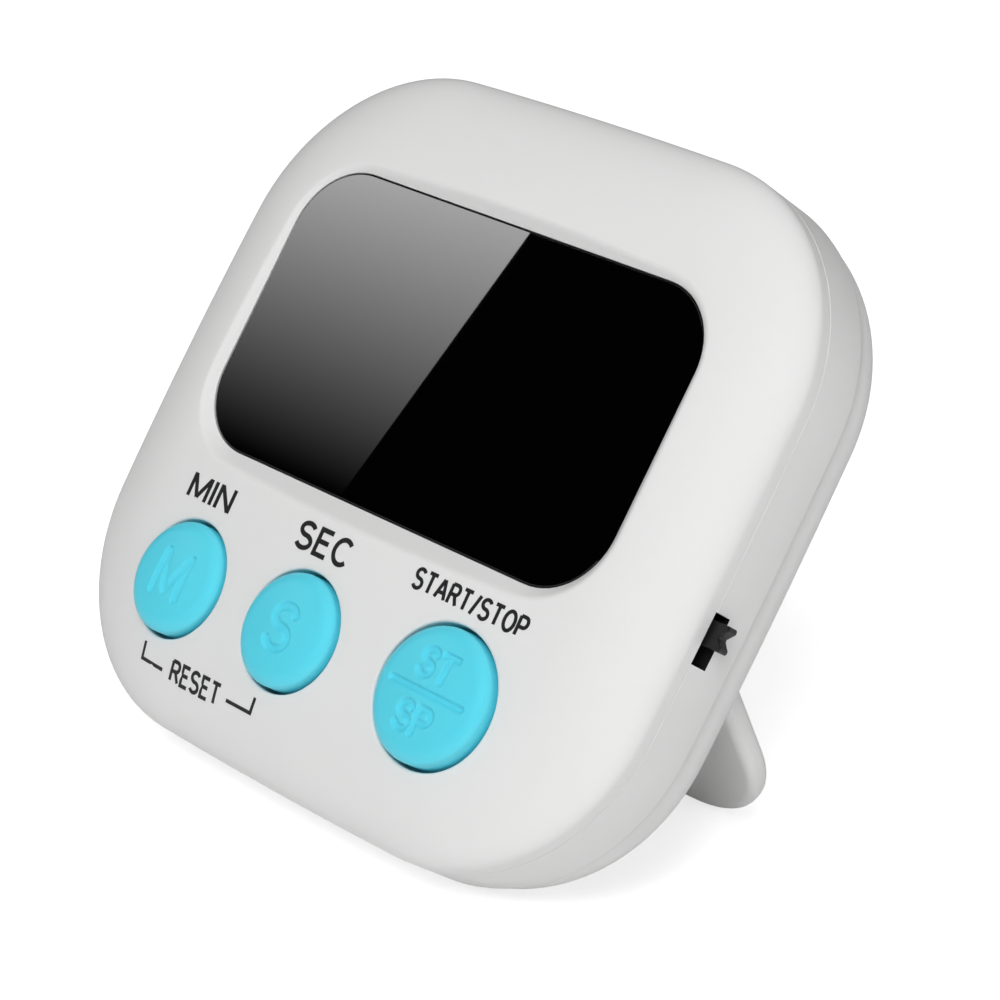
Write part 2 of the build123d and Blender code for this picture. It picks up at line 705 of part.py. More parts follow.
def place_all(nodes):
    """Return the nodes leaned back on the stand, centred over the origin and on the floor."""
    lean = Rot(90 - lean_angle(), 0, 0)
    placed = {name: [lean * solid for solid in as_solids(shape)] for name, shape in nodes.items()}
    box = Compound([solid for solids in placed.values() for solid in solids]).bounding_box()
    shift = Pos(-(box.min.X + box.max.X) / 2, -(box.min.Y + box.max.Y) / 2, -box.min.Z)
    return {name: Compound([shift * solid for solid in solids]) for name, solids in placed.items()}


for node, shape in place_all(build_nodes()).items():
    export_step(shape, os.path.join("parts", node + ".step"))
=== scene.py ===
"""A small white lab timer leaning back on its fold-out stand, with a black window and three blue keys."""

import logging
import math
from dataclasses import dataclass
from enum import Enum
from typing import Callable

import bmesh
import bpy
import numpy as np
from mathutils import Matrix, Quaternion, Vector
from mathutils.geometry import delaunay_2d_cdt


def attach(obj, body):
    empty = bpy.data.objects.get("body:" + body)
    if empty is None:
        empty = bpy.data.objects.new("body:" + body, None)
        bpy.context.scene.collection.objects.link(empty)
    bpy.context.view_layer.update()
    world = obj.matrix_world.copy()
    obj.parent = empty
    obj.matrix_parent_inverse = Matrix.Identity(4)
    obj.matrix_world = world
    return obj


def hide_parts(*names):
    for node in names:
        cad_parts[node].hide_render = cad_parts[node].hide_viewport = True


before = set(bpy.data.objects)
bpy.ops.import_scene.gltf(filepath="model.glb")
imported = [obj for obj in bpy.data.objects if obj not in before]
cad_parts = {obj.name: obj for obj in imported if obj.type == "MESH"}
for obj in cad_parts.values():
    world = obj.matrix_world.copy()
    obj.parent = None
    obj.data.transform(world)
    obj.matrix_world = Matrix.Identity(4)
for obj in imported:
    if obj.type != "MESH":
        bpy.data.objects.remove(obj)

Array = np.ndarray
Height = Callable[[Array, Array], Array]
LOG = logging.getLogger("lab_timer")
MM = 0.001
WELD = 2.0e-6  # points closer than this, in metres, become one
SHARP = math.radians(38.0)
ROW_STEP = 0.866  # height of a row of equal-sided triangles, as a share of their side
EDGE_GAP = 0.6  # a plate's inner points keep this share of the pitch away from its edges


# ---------------------------------------------------------------- placing and meshing


@dataclass(frozen=True)
class Lean:
    """Stands what is drawn in the case's own axes in the row frame.

    The case's axes are X to the right, Y up the face and Z out of it, in mm from the middle of the seam.
    """

    angle: float = 36.954962
    shift: tuple[float, float, float] = (-0.7, -2.1134825, 28.2828173)

    def place(self, points: Array) -> Array:
        """Turn the points about X by 90 degrees less the lean, shift them, and make them metres.

        Args:
            points: rows of X, Y, Z in the case's axes, in mm.

        Returns:
            The same rows in the row frame, in metres.
        """
        turn = math.radians(90.0 - self.angle)
        cos, sin = math.cos(turn), math.sin(turn)
        x, y, z = points.T
        turned = np.stack([x, y * cos - z * sin, y * sin + z * cos], axis=1)
        return (turned + np.array(self.shift)) * MM


LEAN = Lean()


def lift(loop: Array, z: float | Array) -> Array:
    """Give a flat loop a height, one for all points or one for each."""
    return np.column_stack([loop, np.broadcast_to(z, len(loop))])


def circle(x: float, y: float, radius: float, count: int) -> Array:
    """Return points evenly round a circle: centre plus radius times (cos, sin)."""
    turn = np.linspace(0.0, 2.0 * np.pi, count, endpoint=False)
    return np.stack([x + radius * np.cos(turn), y + radius * np.sin(turn)], axis=1)


def inside(points: Array, loop: Array) -> Array:
    """Tell which points lie inside a loop, by counting the edges that a ray towards +X crosses.

    Args:
        points: rows of X, Y.
        loop: the closed loop's corners in order.

    Returns:
        One boolean per point.
    """
    ahead = np.roll(loop, -1, axis=0)
    px, py = points[:, :1], points[:, 1:]
    crosses = (loop[:, 1] > py) != (ahead[:, 1] > py)
    rise = np.where(ahead[:, 1] == loop[:, 1], 1.0, ahead[:, 1] - loop[:, 1])
    reach = loop[:, 0] + (py - loop[:, 1]) * (ahead[:, 0] - loop[:, 0]) / rise
    return (np.count_nonzero(crosses & (px < reach), axis=1) % 2).astype(bool)


def nearest(points: Array, loop: Array) -> Array:
    """Return each point's distance from the closest corner of a loop."""
    gap = points[:, None, :] - loop[None, :, :]
    return np.sqrt((gap**2).sum(axis=2).min(axis=1))


def within(points: Array, outer: Array, holes: list[Array]) -> Array:
    """Tell which points lie inside an outline and outside all its holes."""
    keep = inside(points, outer)
    for hole in holes:
        keep &= ~inside(points, hole)
    return keep


def spread(outer: Array, holes: list[Array], pitch: float) -> tuple[Array, Array]:
    """Cover a plate with triangles: staggered rows of points, and each loop's own points at the edges.

    Args:
        outer: the plate's outline.
        holes: the outlines of its holes.
        pitch: the spacing of the inner points, in mm.

    Returns:
        The flat points and the triangles between them.
    """
    low, high = outer.min(axis=0), outer.max(axis=0)
    rows = np.arange(low[1], high[1], pitch * ROW_STEP)
    x, y = np.meshgrid(np.arange(low[0], high[0], pitch), rows)
    x[1::2] += pitch / 2
    points = np.stack([x.ravel(), y.ravel()], axis=1)
    keep = within(points, outer, holes)
    edges, first = [], 0
    for loop in (outer, *holes):
        keep &= nearest(points, loop) > EDGE_GAP * pitch
        ring = np.arange(len(loop))
        edges.append(np.stack([ring, np.roll(ring, -1)], axis=1) + first)
        first += len(loop)
    flat = np.concatenate([outer, *holes, points[keep]])
    given = [Vector(point) for point in flat.tolist()]
    found = delaunay_2d_cdt(given, np.concatenate(edges).tolist(), [], 0, 1.0e-6)
    flat = np.array([tuple(corner) for corner in found[0]])
    triangles = np.array([face for face in found[2] if len(face) == 3])
    return flat, triangles[within(flat[triangles].mean(axis=1), outer, holes)]


def level(z: float) -> Height:
    """Return a height function that gives the same height everywhere."""
    return lambda x, y: np.full(len(x), z)


def show(name: str, data: bpy.types.ID) -> bpy.types.Object:
    """Make an object of a mesh, a light or a camera and link it to the scene."""
    made = bpy.data.objects.new(name, data)
    bpy.context.scene.collection.objects.link(made)
    return made


class Skin:
    """Gathers the patches of one piece, in the case's axes, and welds them into one closed mesh."""

    def __init__(self) -> None:
        """Start with no patches; the tint is the number of the finish that the next patches get."""
        self.points: list[Array] = []
        self.faces: list[list[int]] = []
        self.tints: list[int] = []
        self.tint = 0
        self.total = 0

    def add(self, points: Array, faces: Array) -> None:
        """Add points and the faces between them."""
        self.points.append(points)
        self.faces += (faces + self.total).tolist()
        self.tints += [self.tint] * len(faces)
        self.total += len(points)

    def strip(self, *loops: Array, closed: bool = True) -> None:
        """Join each loop to the next by a row of quads, point to point.

        Args:
            loops: loops of the same number of points.
            closed: whether each loop's last point joins its first.
        """
        count = len(loops[0])
        near = np.arange(count if closed else count - 1)
        far = (near + 1) % count
        row = np.arange(len(loops) - 1)[:, None] * count
        quads = np.stack([row + near, row + far, row + far + count, row + near + count], axis=-1)
        self.add(np.concatenate(loops), quads.reshape(-1, 4))

    def plate(self, outer: Array, holes: list[Array], height: Height, pitch: float) -> None:
        """Add a plate with holes, each point raised by a height function of its X and Y."""
        flat, triangles = spread(outer, holes, pitch)
        self.add(lift(flat, height(flat[:, 0], flat[:, 1])), triangles)

    def cap(self, loop: Array) -> None:
        """Close a loop with one flat face."""
        self.add(loop, np.arange(len(loop))[None, :])

    def build(
        self, name: str, body: str, slot: str, *looks: "Finishes", node: str = "", sharp: float = SHARP
    ) -> None:
        """Weld the patches, turn every face outward, and make the finished piece that rides on a body.

        Args:
            name: the object's name.
            body: the CAD body that it moves with.
            slot: the record's material slot that it counts as; not used.
            looks: its finishes, in the order of the tints.
            node: the CAD node that it stands in for, if there is one.
            sharp: edges that bend by more than this stay crisp.
        """
        mesh = bpy.data.meshes.new(name)
        mesh.from_pydata(LEAN.place(np.concatenate(self.points)).tolist(), [], self.faces)
        mesh.polygons.foreach_set("material_index", self.tints)
        work = bmesh.new()
        work.from_mesh(mesh)
        bmesh.ops.remove_doubles(work, verts=work.verts, dist=WELD)
        bmesh.ops.dissolve_degenerate(work, edges=work.edges, dist=WELD / 4)
        bmesh.ops.recalc_face_normals(work, faces=work.faces)
        work.to_mesh(mesh)
        work.free()
        mesh.shade_smooth()
        mesh.set_sharp_from_angle(angle=sharp)
        piece = show(name, mesh)
        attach(piece, body)
        for look in looks:
            mesh.materials.append(look.value.make())
        if node:
            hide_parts(node)
        LOG.info("%s: %d faces on %s", name, len(mesh.polygons), body)


def rounded(a: Array, corner: Array, b: Array, steps: int = 5) -> list[Array]:
    """Round off a corner loop between two loops.

    Args:
        a: the loop where the rounding starts.
        corner: the loop along the sharp corner.
        b: the loop where it ends.
        steps: how many loops.

    Returns:
        Loops along (1 - t)^2 a + 2 t (1 - t) corner + t^2 b, a quadratic Bezier curve at every point.
    """
    t = np.linspace(0.0, 1.0, steps)[:, None, None]
    curve = (1 - t) ** 2 * a + 2 * t * (1 - t) * corner + t**2 * b
    return list(curve)


# ---------------------------------------------------------------- outlines and surfaces


@dataclass(frozen=True)
class CaseOutline:
    """The case seen from the front: four slightly swollen sides joined by large corner arcs."""

    half_w: float = 31.0
    half_h: float = 30.0
    corner: float = 17.0
    bow: float = 0.7
    side_steps: int = 14
    corner_steps: int = 28

    @property
    def side_radii(self) -> tuple[float, float]:
        """Radii of the upright sides' arcs and of the level sides' arcs, from their chord and bow."""
        upright = ((self.half_h - self.bow) ** 2 + self.bow**2) / (2 * self.bow)
        level = ((self.half_w - self.bow) ** 2 + self.bow**2) / (2 * self.bow)
        return upright, level

    @property
    def corner_centre(self) -> tuple[float, float]:
        """Centre of the corner arc that touches both side arcs, by repeated substitution."""
        upright, level = self.side_radii
        x, y = self.half_w - self.corner, self.half_h - self.corner
        for _ in range(12):
            x = self.half_w - upright + math.sqrt((upright - self.corner) ** 2 - y**2)
            y = self.half_h - level + math.sqrt((level - self.corner) ** 2 - x**2)
        return x, y

    @property
    def turns(self) -> tuple[float, float]:
        """Directions of the outward normal where the corner arc starts and ends."""
        upright, level = self.side_radii
        x, y = self.corner_centre
        return math.atan2(y, x - self.half_w + upright), math.atan2(y - self.half_h + level, x)

    def headings(self, marks: tuple[float, ...] = ()) -> Array:
        """Return the normals' directions once round, close together in the corners.

        Args:
            marks: heights on the right side at which the outline must have a point.

        Returns:
            Rising angles from 0 to below a full turn.
        """
        first, last = self.turns
        side = np.linspace(0, first, self.side_steps, endpoint=False)
        bend = np.linspace(first, last, self.corner_steps, endpoint=False)
        top = np.linspace(last, np.pi / 2, self.side_steps, endpoint=False)
        quarter = np.concatenate([side, bend, top])
        back = np.pi - np.append(quarter, np.pi / 2)[:0:-1]
        half = np.concatenate([quarter, back])
        whole = np.concatenate([half, half + np.pi])
        extra = np.arcsin(np.array(marks) / self.side_radii[0]) % (2 * np.pi)
        return np.unique(np.round(np.concatenate([whole, extra]), 9))

    def loop(self, headings: Array, inset: float | Array = 0.0) -> Array:
        """Return the outline moved inward: arc centre plus (arc radius - inset) along each normal.

        Args:
            headings: the normals' directions.
            inset: how far inward, one for all points or one for each.

        Returns:
            Rows of X, Y.
        """
        upright, level = self.side_radii
        first, last = self.turns
        cos, sin = np.cos(headings), np.sin(headings)
        turn = np.arctan2(np.abs(sin), np.abs(cos))
        corner_x, corner_y = self.corner_centre
        side, top = turn < first, turn > last
        x0 = np.where(side, self.half_w - upright, np.where(top, 0.0, corner_x))
        y0 = np.where(side, 0.0, np.where(top, self.half_h - level, corner_y))
        radius = np.where(side, upright, np.where(top, level, self.corner)) - inset
        return np.stack([np.sign(cos) * x0 + radius * cos, np.sign(sin) * y0 + radius * sin], axis=1)

    def depth(self, x: Array, y: Array) -> tuple[Array, Array, Array]:
        """Return how far inside the outline each point is, and the outline's closest point.

        Args:
            x: the points' X.
            y: the points' Y.

        Returns:
            Depths, and X and Y of the closest points of the outline.
        """
        upright, level = self.side_radii
        first, last = self.turns
        corner_x, corner_y = self.corner_centre
        ax, ay = np.abs(x), np.abs(y)
        options = []
        for cx, cy, radius in (
            (self.half_w - upright, 0.0, upright),
            (0.0, self.half_h - level, level),
            (corner_x, corner_y, self.corner),
        ):
            away = np.hypot(ax - cx, ay - cy) + 1e-9
            options.append((radius - away, cx + (ax - cx) / away * radius, cy + (ay - cy) / away * radius))
        turn = np.arctan2(ay - corner_y, ax - corner_x)
        bend = (turn > first) & (turn < last) & (ax > corner_x) & (ay > corner_y)
        pick = np.where(bend, 2, np.where(options[0][0] < options[1][0], 0, 1))
        deep, px, py = (np.choose(pick, [option[k] for option in options]) for k in range(3))
        return deep, px * np.sign(x), py * np.sign(y)


OUTLINE = CaseOutline()


@dataclass(frozen=True)
class SlabOutline:
    """A rectangle with rounded corners, whose upper and lower corners may differ."""

    x: float
    y: float
    half_w: float
    half_h: float
    lower: float
    upper: float
    side_steps: int = 16
    corner_steps: int = 16

    def loop(self, grow: float | Array = 0.0) -> Array:
        """Return the outline, moved outward by the growth: corner centre plus radius along the normal."""
        corners = ((1, 1, self.upper), (-1, 1, self.upper), (-1, -1, self.lower), (1, -1, self.lower))
        centres, normals, radii = [], [], []
        for index, (sx, sy, radius) in enumerate(corners):
            turn = np.linspace(0, np.pi / 2, self.corner_steps) + index * np.pi / 2
            centre = (self.x + sx * (self.half_w - radius), self.y + sy * (self.half_h - radius))
            centres.append(np.broadcast_to(np.array(centre), (len(turn), 2)))
            normals.append(np.stack([np.cos(turn), np.sin(turn)], axis=1))
            radii.append(np.full(len(turn), radius))
        normal = np.concatenate(normals)
        points = np.concatenate(centres) + normal * np.concatenate(radii)[:, None]
        points, normal = self.fill(points), self.fill(normal)
        return points + normal * np.reshape(np.broadcast_to(grow, len(points)), (-1, 1))

    def fill(self, rows: Array) -> Array:
        """Put evenly spaced rows into the four straight stretches between the corners."""
        steps = np.linspace(0, 1, self.side_steps + 1)[1:-1, None]
        parts = []
        for index in range(4):
            corner = rows[index * self.corner_steps : (index + 1) * self.corner_steps]
            ahead = rows[((index + 1) * self.corner_steps) % len(rows)]
            parts += [corner, corner[-1] + (ahead - corner[-1]) * steps]
        return np.concatenate(parts)


@dataclass(frozen=True)
class FrontForm:
    """The front: a dome of one radius, whose rim falls in a quarter ellipse to a short upright wall."""

    crown: float = 6.3
    dome: float = 300.16
    rim: float = 9.0
    wall_z: float = 1.0
    inset: float = 0.0

    def domed(self, x: Array, y: Array) -> Array:
        """Return the plain dome's height: crown - R + sqrt(R^2 - x^2 - y^2)."""
        return self.crown - self.dome + np.sqrt(self.dome**2 - x**2 - y**2)

    def height(self, x: Array, y: Array) -> Array:
        """Return the surface's height.

        It is the dome's, less (dome at the edge - wall) * (1 - sqrt(1 - s^2)), where s is the share of
        the rim that is left on the way inward and is 0 past the rim.

        Args:
            x: the points' X.
            y: the points' Y.

        Returns:
            One height per point.
        """
        deep, px, py = OUTLINE.depth(x, y)
        fall = self.domed(px, py) - self.wall_z
        share = np.clip(1.0 - (deep - self.inset) / self.rim, 0.0, 1.0)
        return self.domed(x, y) - fall * (1.0 - np.sqrt(1.0 - share**2))

    def rim_loops(self, headings: Array, inner: float, steps: int = 26) -> list[Array]:
        """Return loops from the foot of the rim inward, spaced as the cosine of an even angle.

        Args:
            headings: directions of the outline's normals.
            inner: depth inside the outline at which the rim's grid ends.
            steps: how many loops.

        Returns:
            Loops of X, Y, Z.
        """
        last = math.acos(1.0 - (inner - self.inset) / self.rim)
        depths = self.inset + self.rim * (1.0 - np.cos(np.linspace(0.0, last, steps)))
        loops = [OUTLINE.loop(headings, depth) for depth in depths]
        heights = [self.height(loop[:, 0], loop[:, 1]) for loop in loops]
        heights[0] = np.full(len(loops[0]), self.wall_z)
        return [lift(loop, z) for loop, z in zip(loops, heights)]


FRONT = FrontForm()


# ---------------------------------------------------------------- shader wrappers and finishes


class Value:
    """A shader socket that can be added, subtracted and multiplied like a number."""

    def __init__(self, graph: "Graph", socket: bpy.types.NodeSocket) -> None:
        """Keep the socket and the graph that it belongs to."""
        self.graph = graph
        self.socket = socket

    def maths(self, operation: str, first: "Value | float", second: "Value | float") -> "Value":
        """Return a Math node's result for two operands."""
        node = self.graph.node("ShaderNodeMath", {"operation": operation}, {0: first, 1: second})
        return Value(self.graph, node.outputs[0])

    def __add__(self, other: "Value | float") -> "Value":
        """Return self + other."""
        return self.maths("ADD", self, other)

    def __radd__(self, other: float) -> "Value":
        """Return other + self."""
        return self.maths("ADD", other, self)

    def __sub__(self, other: "Value | float") -> "Value":
        """Return self - other."""
        return self.maths("SUBTRACT", self, other)

    def __rsub__(self, other: float) -> "Value":
        """Return other - self."""
        return self.maths("SUBTRACT", other, self)

    def __mul__(self, other: "Value | float") -> "Value":
        """Return self * other."""
        return self.maths("MULTIPLY", self, other)

    def __rmul__(self, other: float) -> "Value":
        """Return other * self."""
        return self.maths("MULTIPLY", other, self)

    def __pow__(self, other: "Value | float") -> "Value":
        """Return self to the power of other."""
        return self.maths("POWER", self, other)


class Graph:
    """Builds the nodes of one material or world."""

    def __init__(self, owner: bpy.types.Material | bpy.types.World) -> None:
        """Empty the owner's node tree and keep it."""
        owner.use_nodes = True
        self.tree = owner.node_tree
        self.tree.nodes.clear()

    def node(
        self, kind: str, settings: dict | None = None, inputs: dict | None = None
    ) -> bpy.types.Node:
        """Make a node, set its options first, and then fill or link its sockets.

        Args:
            kind: the node's type name.
            settings: attributes to set.
            inputs: socket names or numbers with a value, a Value or a socket.

        Returns:
            The node.
        """
        made = self.tree.nodes.new(kind)
        for key, setting in (settings or {}).items():
            setattr(made, key, setting)
        for key, given in (inputs or {}).items():
            if isinstance(given, Value):
                given = given.socket
            if isinstance(given, bpy.types.NodeSocket):
                self.tree.links.new(given, made.inputs[key])
            else:
                made.inputs[key].default_value = given
        return made

    def value(self, kind: str, output: str | int, inputs: dict | None = None) -> Value:
        """Make a node and return one of its outputs as a Value."""
        return Value(self, self.node(kind, None, inputs).outputs[output])

    def noise(self, scale: float, detail: float = 3.0) -> Value:
        """Return noise between 0 and 1 on the object's own coordinates, its scale in cycles per metre."""
        place = self.node("ShaderNodeTexCoord").outputs["Object"]
        inputs = {"Vector": place, "Scale": scale, "Detail": detail}
        return self.value("ShaderNodeTexNoise", "Fac", inputs)

    def glow(self, colour: tuple | bpy.types.NodeSocket, strength: float) -> bpy.types.NodeSocket:
        """Return an even glow of a colour, which may vary, and a strength."""
        made = self.node("ShaderNodeEmission", None, {"Color": colour, "Strength": strength})
        return made.outputs[0]

    def surface(self, shader: bpy.types.NodeSocket) -> None:
        """End a material's graph with its surface shader."""
        self.node("ShaderNodeOutputMaterial", None, {"Surface": shader})

    def mix(self, factor: Value, dark: tuple, light: tuple) -> bpy.types.NodeSocket:
        """Return a colour between two, by a factor."""
        inputs = {0: factor, 6: dark, 7: light}
        return self.node("ShaderNodeMix", {"data_type": "RGBA"}, inputs).outputs[2]


Colour = tuple[float, float, float]


@dataclass(frozen=True)
class Finish:
    """One surface finish: its colour, gloss and fine texture.

    The colour varies by a few hundredths of itself over centimetres, the roughness over millimetres,
    and the grain is a bump whose height is in metres.
    """

    name: str
    colour: Colour
    rough: float
    metal: float = 0.0
    vary: float = 0.02
    vary_scale: float = 60.0
    smear: float = 0.06
    smear_scale: float = 420.0
    grain: float = 0.0
    grain_scale: float = 3500.0
    coat: float = 0.0
    ior: float = 1.5
    translucent: float = 0.0
    bleed: float = 0.002
    through: float = 0.0

    def make(self) -> bpy.types.Material:
        """Return the material, made on first use."""
        found = bpy.data.materials.get(self.name)
        if found:
            return found
        made = bpy.data.materials.new(self.name)
        graph = Graph(made)
        dark = tuple(c * (1.0 - self.vary) for c in self.colour) + (1.0,)
        light = tuple(min(1.0, c * (1.0 + self.vary)) for c in self.colour) + (1.0,)
        inputs = {
            "Base Color": graph.mix(graph.noise(self.vary_scale), dark, light),
            "Metallic": self.metal,
            "Roughness": self.rough + (graph.noise(self.smear_scale, 5.0) - 0.5) * self.smear,
            "Coat Weight": self.coat,
            "Coat Roughness": 0.02,
            "IOR": self.ior,
            "Subsurface Weight": self.translucent,
            "Subsurface Radius": (self.bleed, self.bleed, self.bleed),
            "Transmission Weight": self.through,
        }
        if self.grain:
            height = graph.noise(self.grain_scale, 4.0) * self.grain
            bump = {"Height": height, "Distance": 1.0, "Strength": 1.0}
            inputs["Normal"] = graph.node("ShaderNodeBump", None, bump).outputs["Normal"]
        graph.surface(graph.node("ShaderNodeBsdfPrincipled", None, inputs).outputs[0])
        return made


class Finishes(Enum):
    """The finishes of the timer's pieces, named after the record's material slots."""

    case_plastic = Finish(
        "case plastic", (0.80, 0.80, 0.795), 0.40, grain=3.0e-6, translucent=0.05, vary=0.006
    )
    key_blue = Finish("blue key", (0.105, 0.70, 0.86), 0.38, grain=2.0e-6, translucent=0.03)
    lens_black = Finish("black window", (0.0006, 0.0006, 0.0007), 0.008, vary=0.05, smear=0.004)
    # Also paints the switch slot's floor and ends in the white rear shell black, as painted shade.
    switch_black = Finish("black switch and painted slot shade", (0.012, 0.012, 0.013), 0.45, grain=2.5e-6, vary=0.08)
    ink = Finish("label ink", (0.018, 0.018, 0.020), 0.5, vary=0.1)
    lcd_glass = Finish("display glass", (0.55, 0.60, 0.55), 0.06, through=0.7)
    polariser = Finish("display film", (0.20, 0.23, 0.20), 0.25)
    elastomer = Finish("elastomer", (0.72, 0.30, 0.42), 0.6)
    board_green = Finish("circuit board", (0.015, 0.13, 0.045), 0.35, coat=0.4)
    steel = Finish("stamped steel", (0.56, 0.56, 0.55), 0.32, metal=1.0)
    plunger_black = Finish("black plunger", (0.02, 0.02, 0.02), 0.5)
    cell_steel = Finish("cell steel", (0.62, 0.61, 0.58), 0.22, metal=1.0)
    contact_nickel = Finish("nickel contact", (0.64, 0.61, 0.55), 0.25, metal=1.0)
    brass = Finish("buzzer brass", (0.78, 0.56, 0.24), 0.28, metal=1.0)
    ceramic = Finish("buzzer ceramic", (0.78, 0.76, 0.70), 0.4)
    wire_sleeve = Finish("wire sleeve", (0.45, 0.02, 0.02), 0.45)
    screw_steel = Finish("screw steel", (0.50, 0.50, 0.50), 0.3, metal=1.0)
    magnet = Finish("magnet", (0.42, 0.42, 0.43), 0.28, metal=1.0)
    epoxy_black = Finish("epoxy", (0.012, 0.012, 0.012), 0.3, grain=6.0e-6)
    crystal_can = Finish("crystal can", (0.6, 0.6, 0.6), 0.2, metal=1.0)
    resistor_black = Finish("resistor", (0.02, 0.02, 0.025), 0.4)
    capacitor_tan = Finish("capacitor", (0.42, 0.30, 0.18), 0.4)
    ferrite = Finish("ferrite", (0.05, 0.05, 0.05), 0.55)


# ---------------------------------------------------------------- the case


@dataclass(frozen=True)
class KeySize:
    """Where a key sits, how wide it is, and what is sunk into its top.

    Each mark is a word with the height of its middle over the key's, its own height and its width. The
    bar is the length of a sunk line across the middle, or 0 for none.
    """

    node: str
    body: str
    x: float
    y: float
    radius: float
    marks: tuple[tuple[str, float, float, float], ...]
    stroke: float
    bar: float = 0.0


KEYS = (
    KeySize("min_key", "min_button", -15.95, -18.1, 4.8, (("M", 0.0, 4.1, 3.5),), 0.6),
    KeySize("sec_key", "sec_button", -1.85, -17.9, 4.8, (("S", 0.0, 4.2, 2.9),), 0.62),
    KeySize(
        "start_stop_key",
        "start_stop_button",
        14.3,
        -17.4,
        5.55,
        (("ST", 2.2, 2.6, 3.8), ("SP", -2.2, 2.6, 3.8)),
        0.5,
        7.6,
    ),
)


@dataclass(frozen=True)
class Lens:
    """The black window plate set flush in the bottom of the bezel."""

    outline: SlabOutline = SlabOutline(0.0, 6.15, 22.9, 12.8, 6.0, 6.0)
    top: float = 4.7
    thick: float = 1.1
    bevel: float = 0.12
    sharp: float = math.radians(20.0)

    def build(self) -> None:
        """Make the plate with a small bevel round its top and bottom."""
        skin = Skin()
        low = self.top - self.thick
        steps = (
            (-self.bevel, low),
            (0.0, low + self.bevel),
            (0.0, self.top - self.bevel),
            (-self.bevel, self.top),
        )
        loops = [lift(self.outline.loop(grow), z) for grow, z in steps]
        skin.strip(*loops)
        skin.cap(loops[0])
        skin.cap(loops[-1])
        looks = Finishes.lens_black
        skin.build("window", "case", "lens_black", looks, node="display_lens", sharp=self.sharp)


LENS = Lens()


@dataclass(frozen=True)
class FrontShell:
    """The domed front half of the case, with the window's bezel and three key holes."""

    plate_inset: float = 4.2
    chamfer: float = 0.06
    wall: float = 2.0
    seat: float = 3.3
    ledge: float = 2.9
    key_gap: float = 0.3
    key_edge: float = 0.3
    bezel_slope: float = 1.15
    bezel_edge: float = 0.32
    lens_gap: float = 0.08
    view_margin: float = 4.0
    window_land: float = 1.2
    key_land: float = 1.15
    pitch: float = 0.8
    lining_steps: int = 8
    hole_points: int = 96
    lining: FrontForm = FrontForm(crown=4.3, dome=298.0, rim=7.0, wall_z=0.5, inset=2.0)

    def inner(self, x: Array, y: Array) -> Array:
        """Return the lining's height: the lowered dome, flat under the window and round the keys."""
        z = self.lining.height(x, y)
        window, land = LENS.outline, self.window_land
        under = (np.abs(x) < window.half_w + land) & (np.abs(y - window.y) < window.half_h + land)
        z = np.where(under, self.ledge, z)
        for key in KEYS:
            near = np.hypot(x - key.x, y - key.y) < key.radius + self.key_land
            z = np.where(near, self.seat, z)
        return z

    def bezel_rim(self) -> Array:
        """Return how far the bezel's slope reaches past the window, point by point.

        The reach is slope * (face - window) + gap. The face's height depends on the reach, so the
        formula is put into itself again until it settles.
        """
        grow = np.full(len(LENS.outline.loop()), 1.0)
        for _ in range(8):
            loop = LENS.outline.loop(grow)
            rise = FRONT.height(loop[:, 0], loop[:, 1]) - LENS.top
            grow = self.bezel_slope * rise + self.lens_gap
        return grow

    def bezel(self, skin: Skin) -> tuple[Array, Array]:
        """Add the rounded edge, the slope, the window's seat and its ledge.

        Args:
            skin: the shell's skin.

        Returns:
            The bezel's edge on the face and the view opening's edge on the lining.
        """
        reach = self.bezel_rim()
        outer, corner = (LENS.outline.loop(reach + extra) for extra in (self.bezel_edge, 0.0))
        down = self.bezel_edge / self.bezel_slope
        foot = LENS.outline.loop(reach - self.bezel_edge)
        face = FRONT.height(corner[:, 0], corner[:, 1])
        edge = rounded(
            lift(outer, FRONT.height(outer[:, 0], outer[:, 1])),
            lift(corner, face),
            lift(foot, face - down),
            7,
        )
        seat = LENS.outline.loop(self.lens_gap)
        view = LENS.outline.loop(-self.view_margin)
        low = LENS.top - LENS.thick
        steps = ((seat, LENS.top), (seat, low), (view, low), (view, self.ledge))
        skin.strip(*edge, *(lift(loop, z) for loop, z in steps))
        return outer, view

    def key_hole(self, skin: Skin, key: KeySize) -> tuple[Array, Array]:
        """Add a key's hole with its rounded edge, and return its outer and inner loops."""
        radius = key.radius + self.key_gap
        outer = circle(key.x, key.y, radius + self.key_edge, self.hole_points)
        hole = circle(key.x, key.y, radius, self.hole_points)
        top = FRONT.height(outer[:, 0], outer[:, 1])
        face = FRONT.height(hole[:, 0], hole[:, 1])
        edge = rounded(lift(outer, top), lift(hole, face), lift(hole, face - self.key_edge), 6)
        skin.strip(*edge, lift(hole, self.seat))
        return outer, hole

    def build(self) -> None:
        """Make the outer skin and the lining, and join them at the seam and at every opening."""
        skin = Skin()
        headings = OUTLINE.headings()
        seam = lift(OUTLINE.loop(headings, self.chamfer), 0.0)
        rim = FRONT.rim_loops(headings, self.plate_inset)
        lining = self.lining.rim_loops(headings, self.plate_inset, self.lining_steps)
        skin.strip(seam, lift(OUTLINE.loop(headings), self.chamfer), *rim)
        skin.strip(seam, lift(OUTLINE.loop(headings, self.wall), 0.0), *lining)
        holes, inner_holes = [], []
        for outer, hole in [self.bezel(skin), *(self.key_hole(skin, key) for key in KEYS)]:
            holes.append(outer)
            inner_holes.append(hole)
        edge = OUTLINE.loop(headings, self.plate_inset)
        skin.plate(edge, holes, FRONT.height, self.pitch)
        skin.plate(edge, inner_holes, self.inner, self.pitch)
        looks = Finishes.case_plastic
        skin.build("front_shell", "case", "case_plastic", looks, node="front_housing")


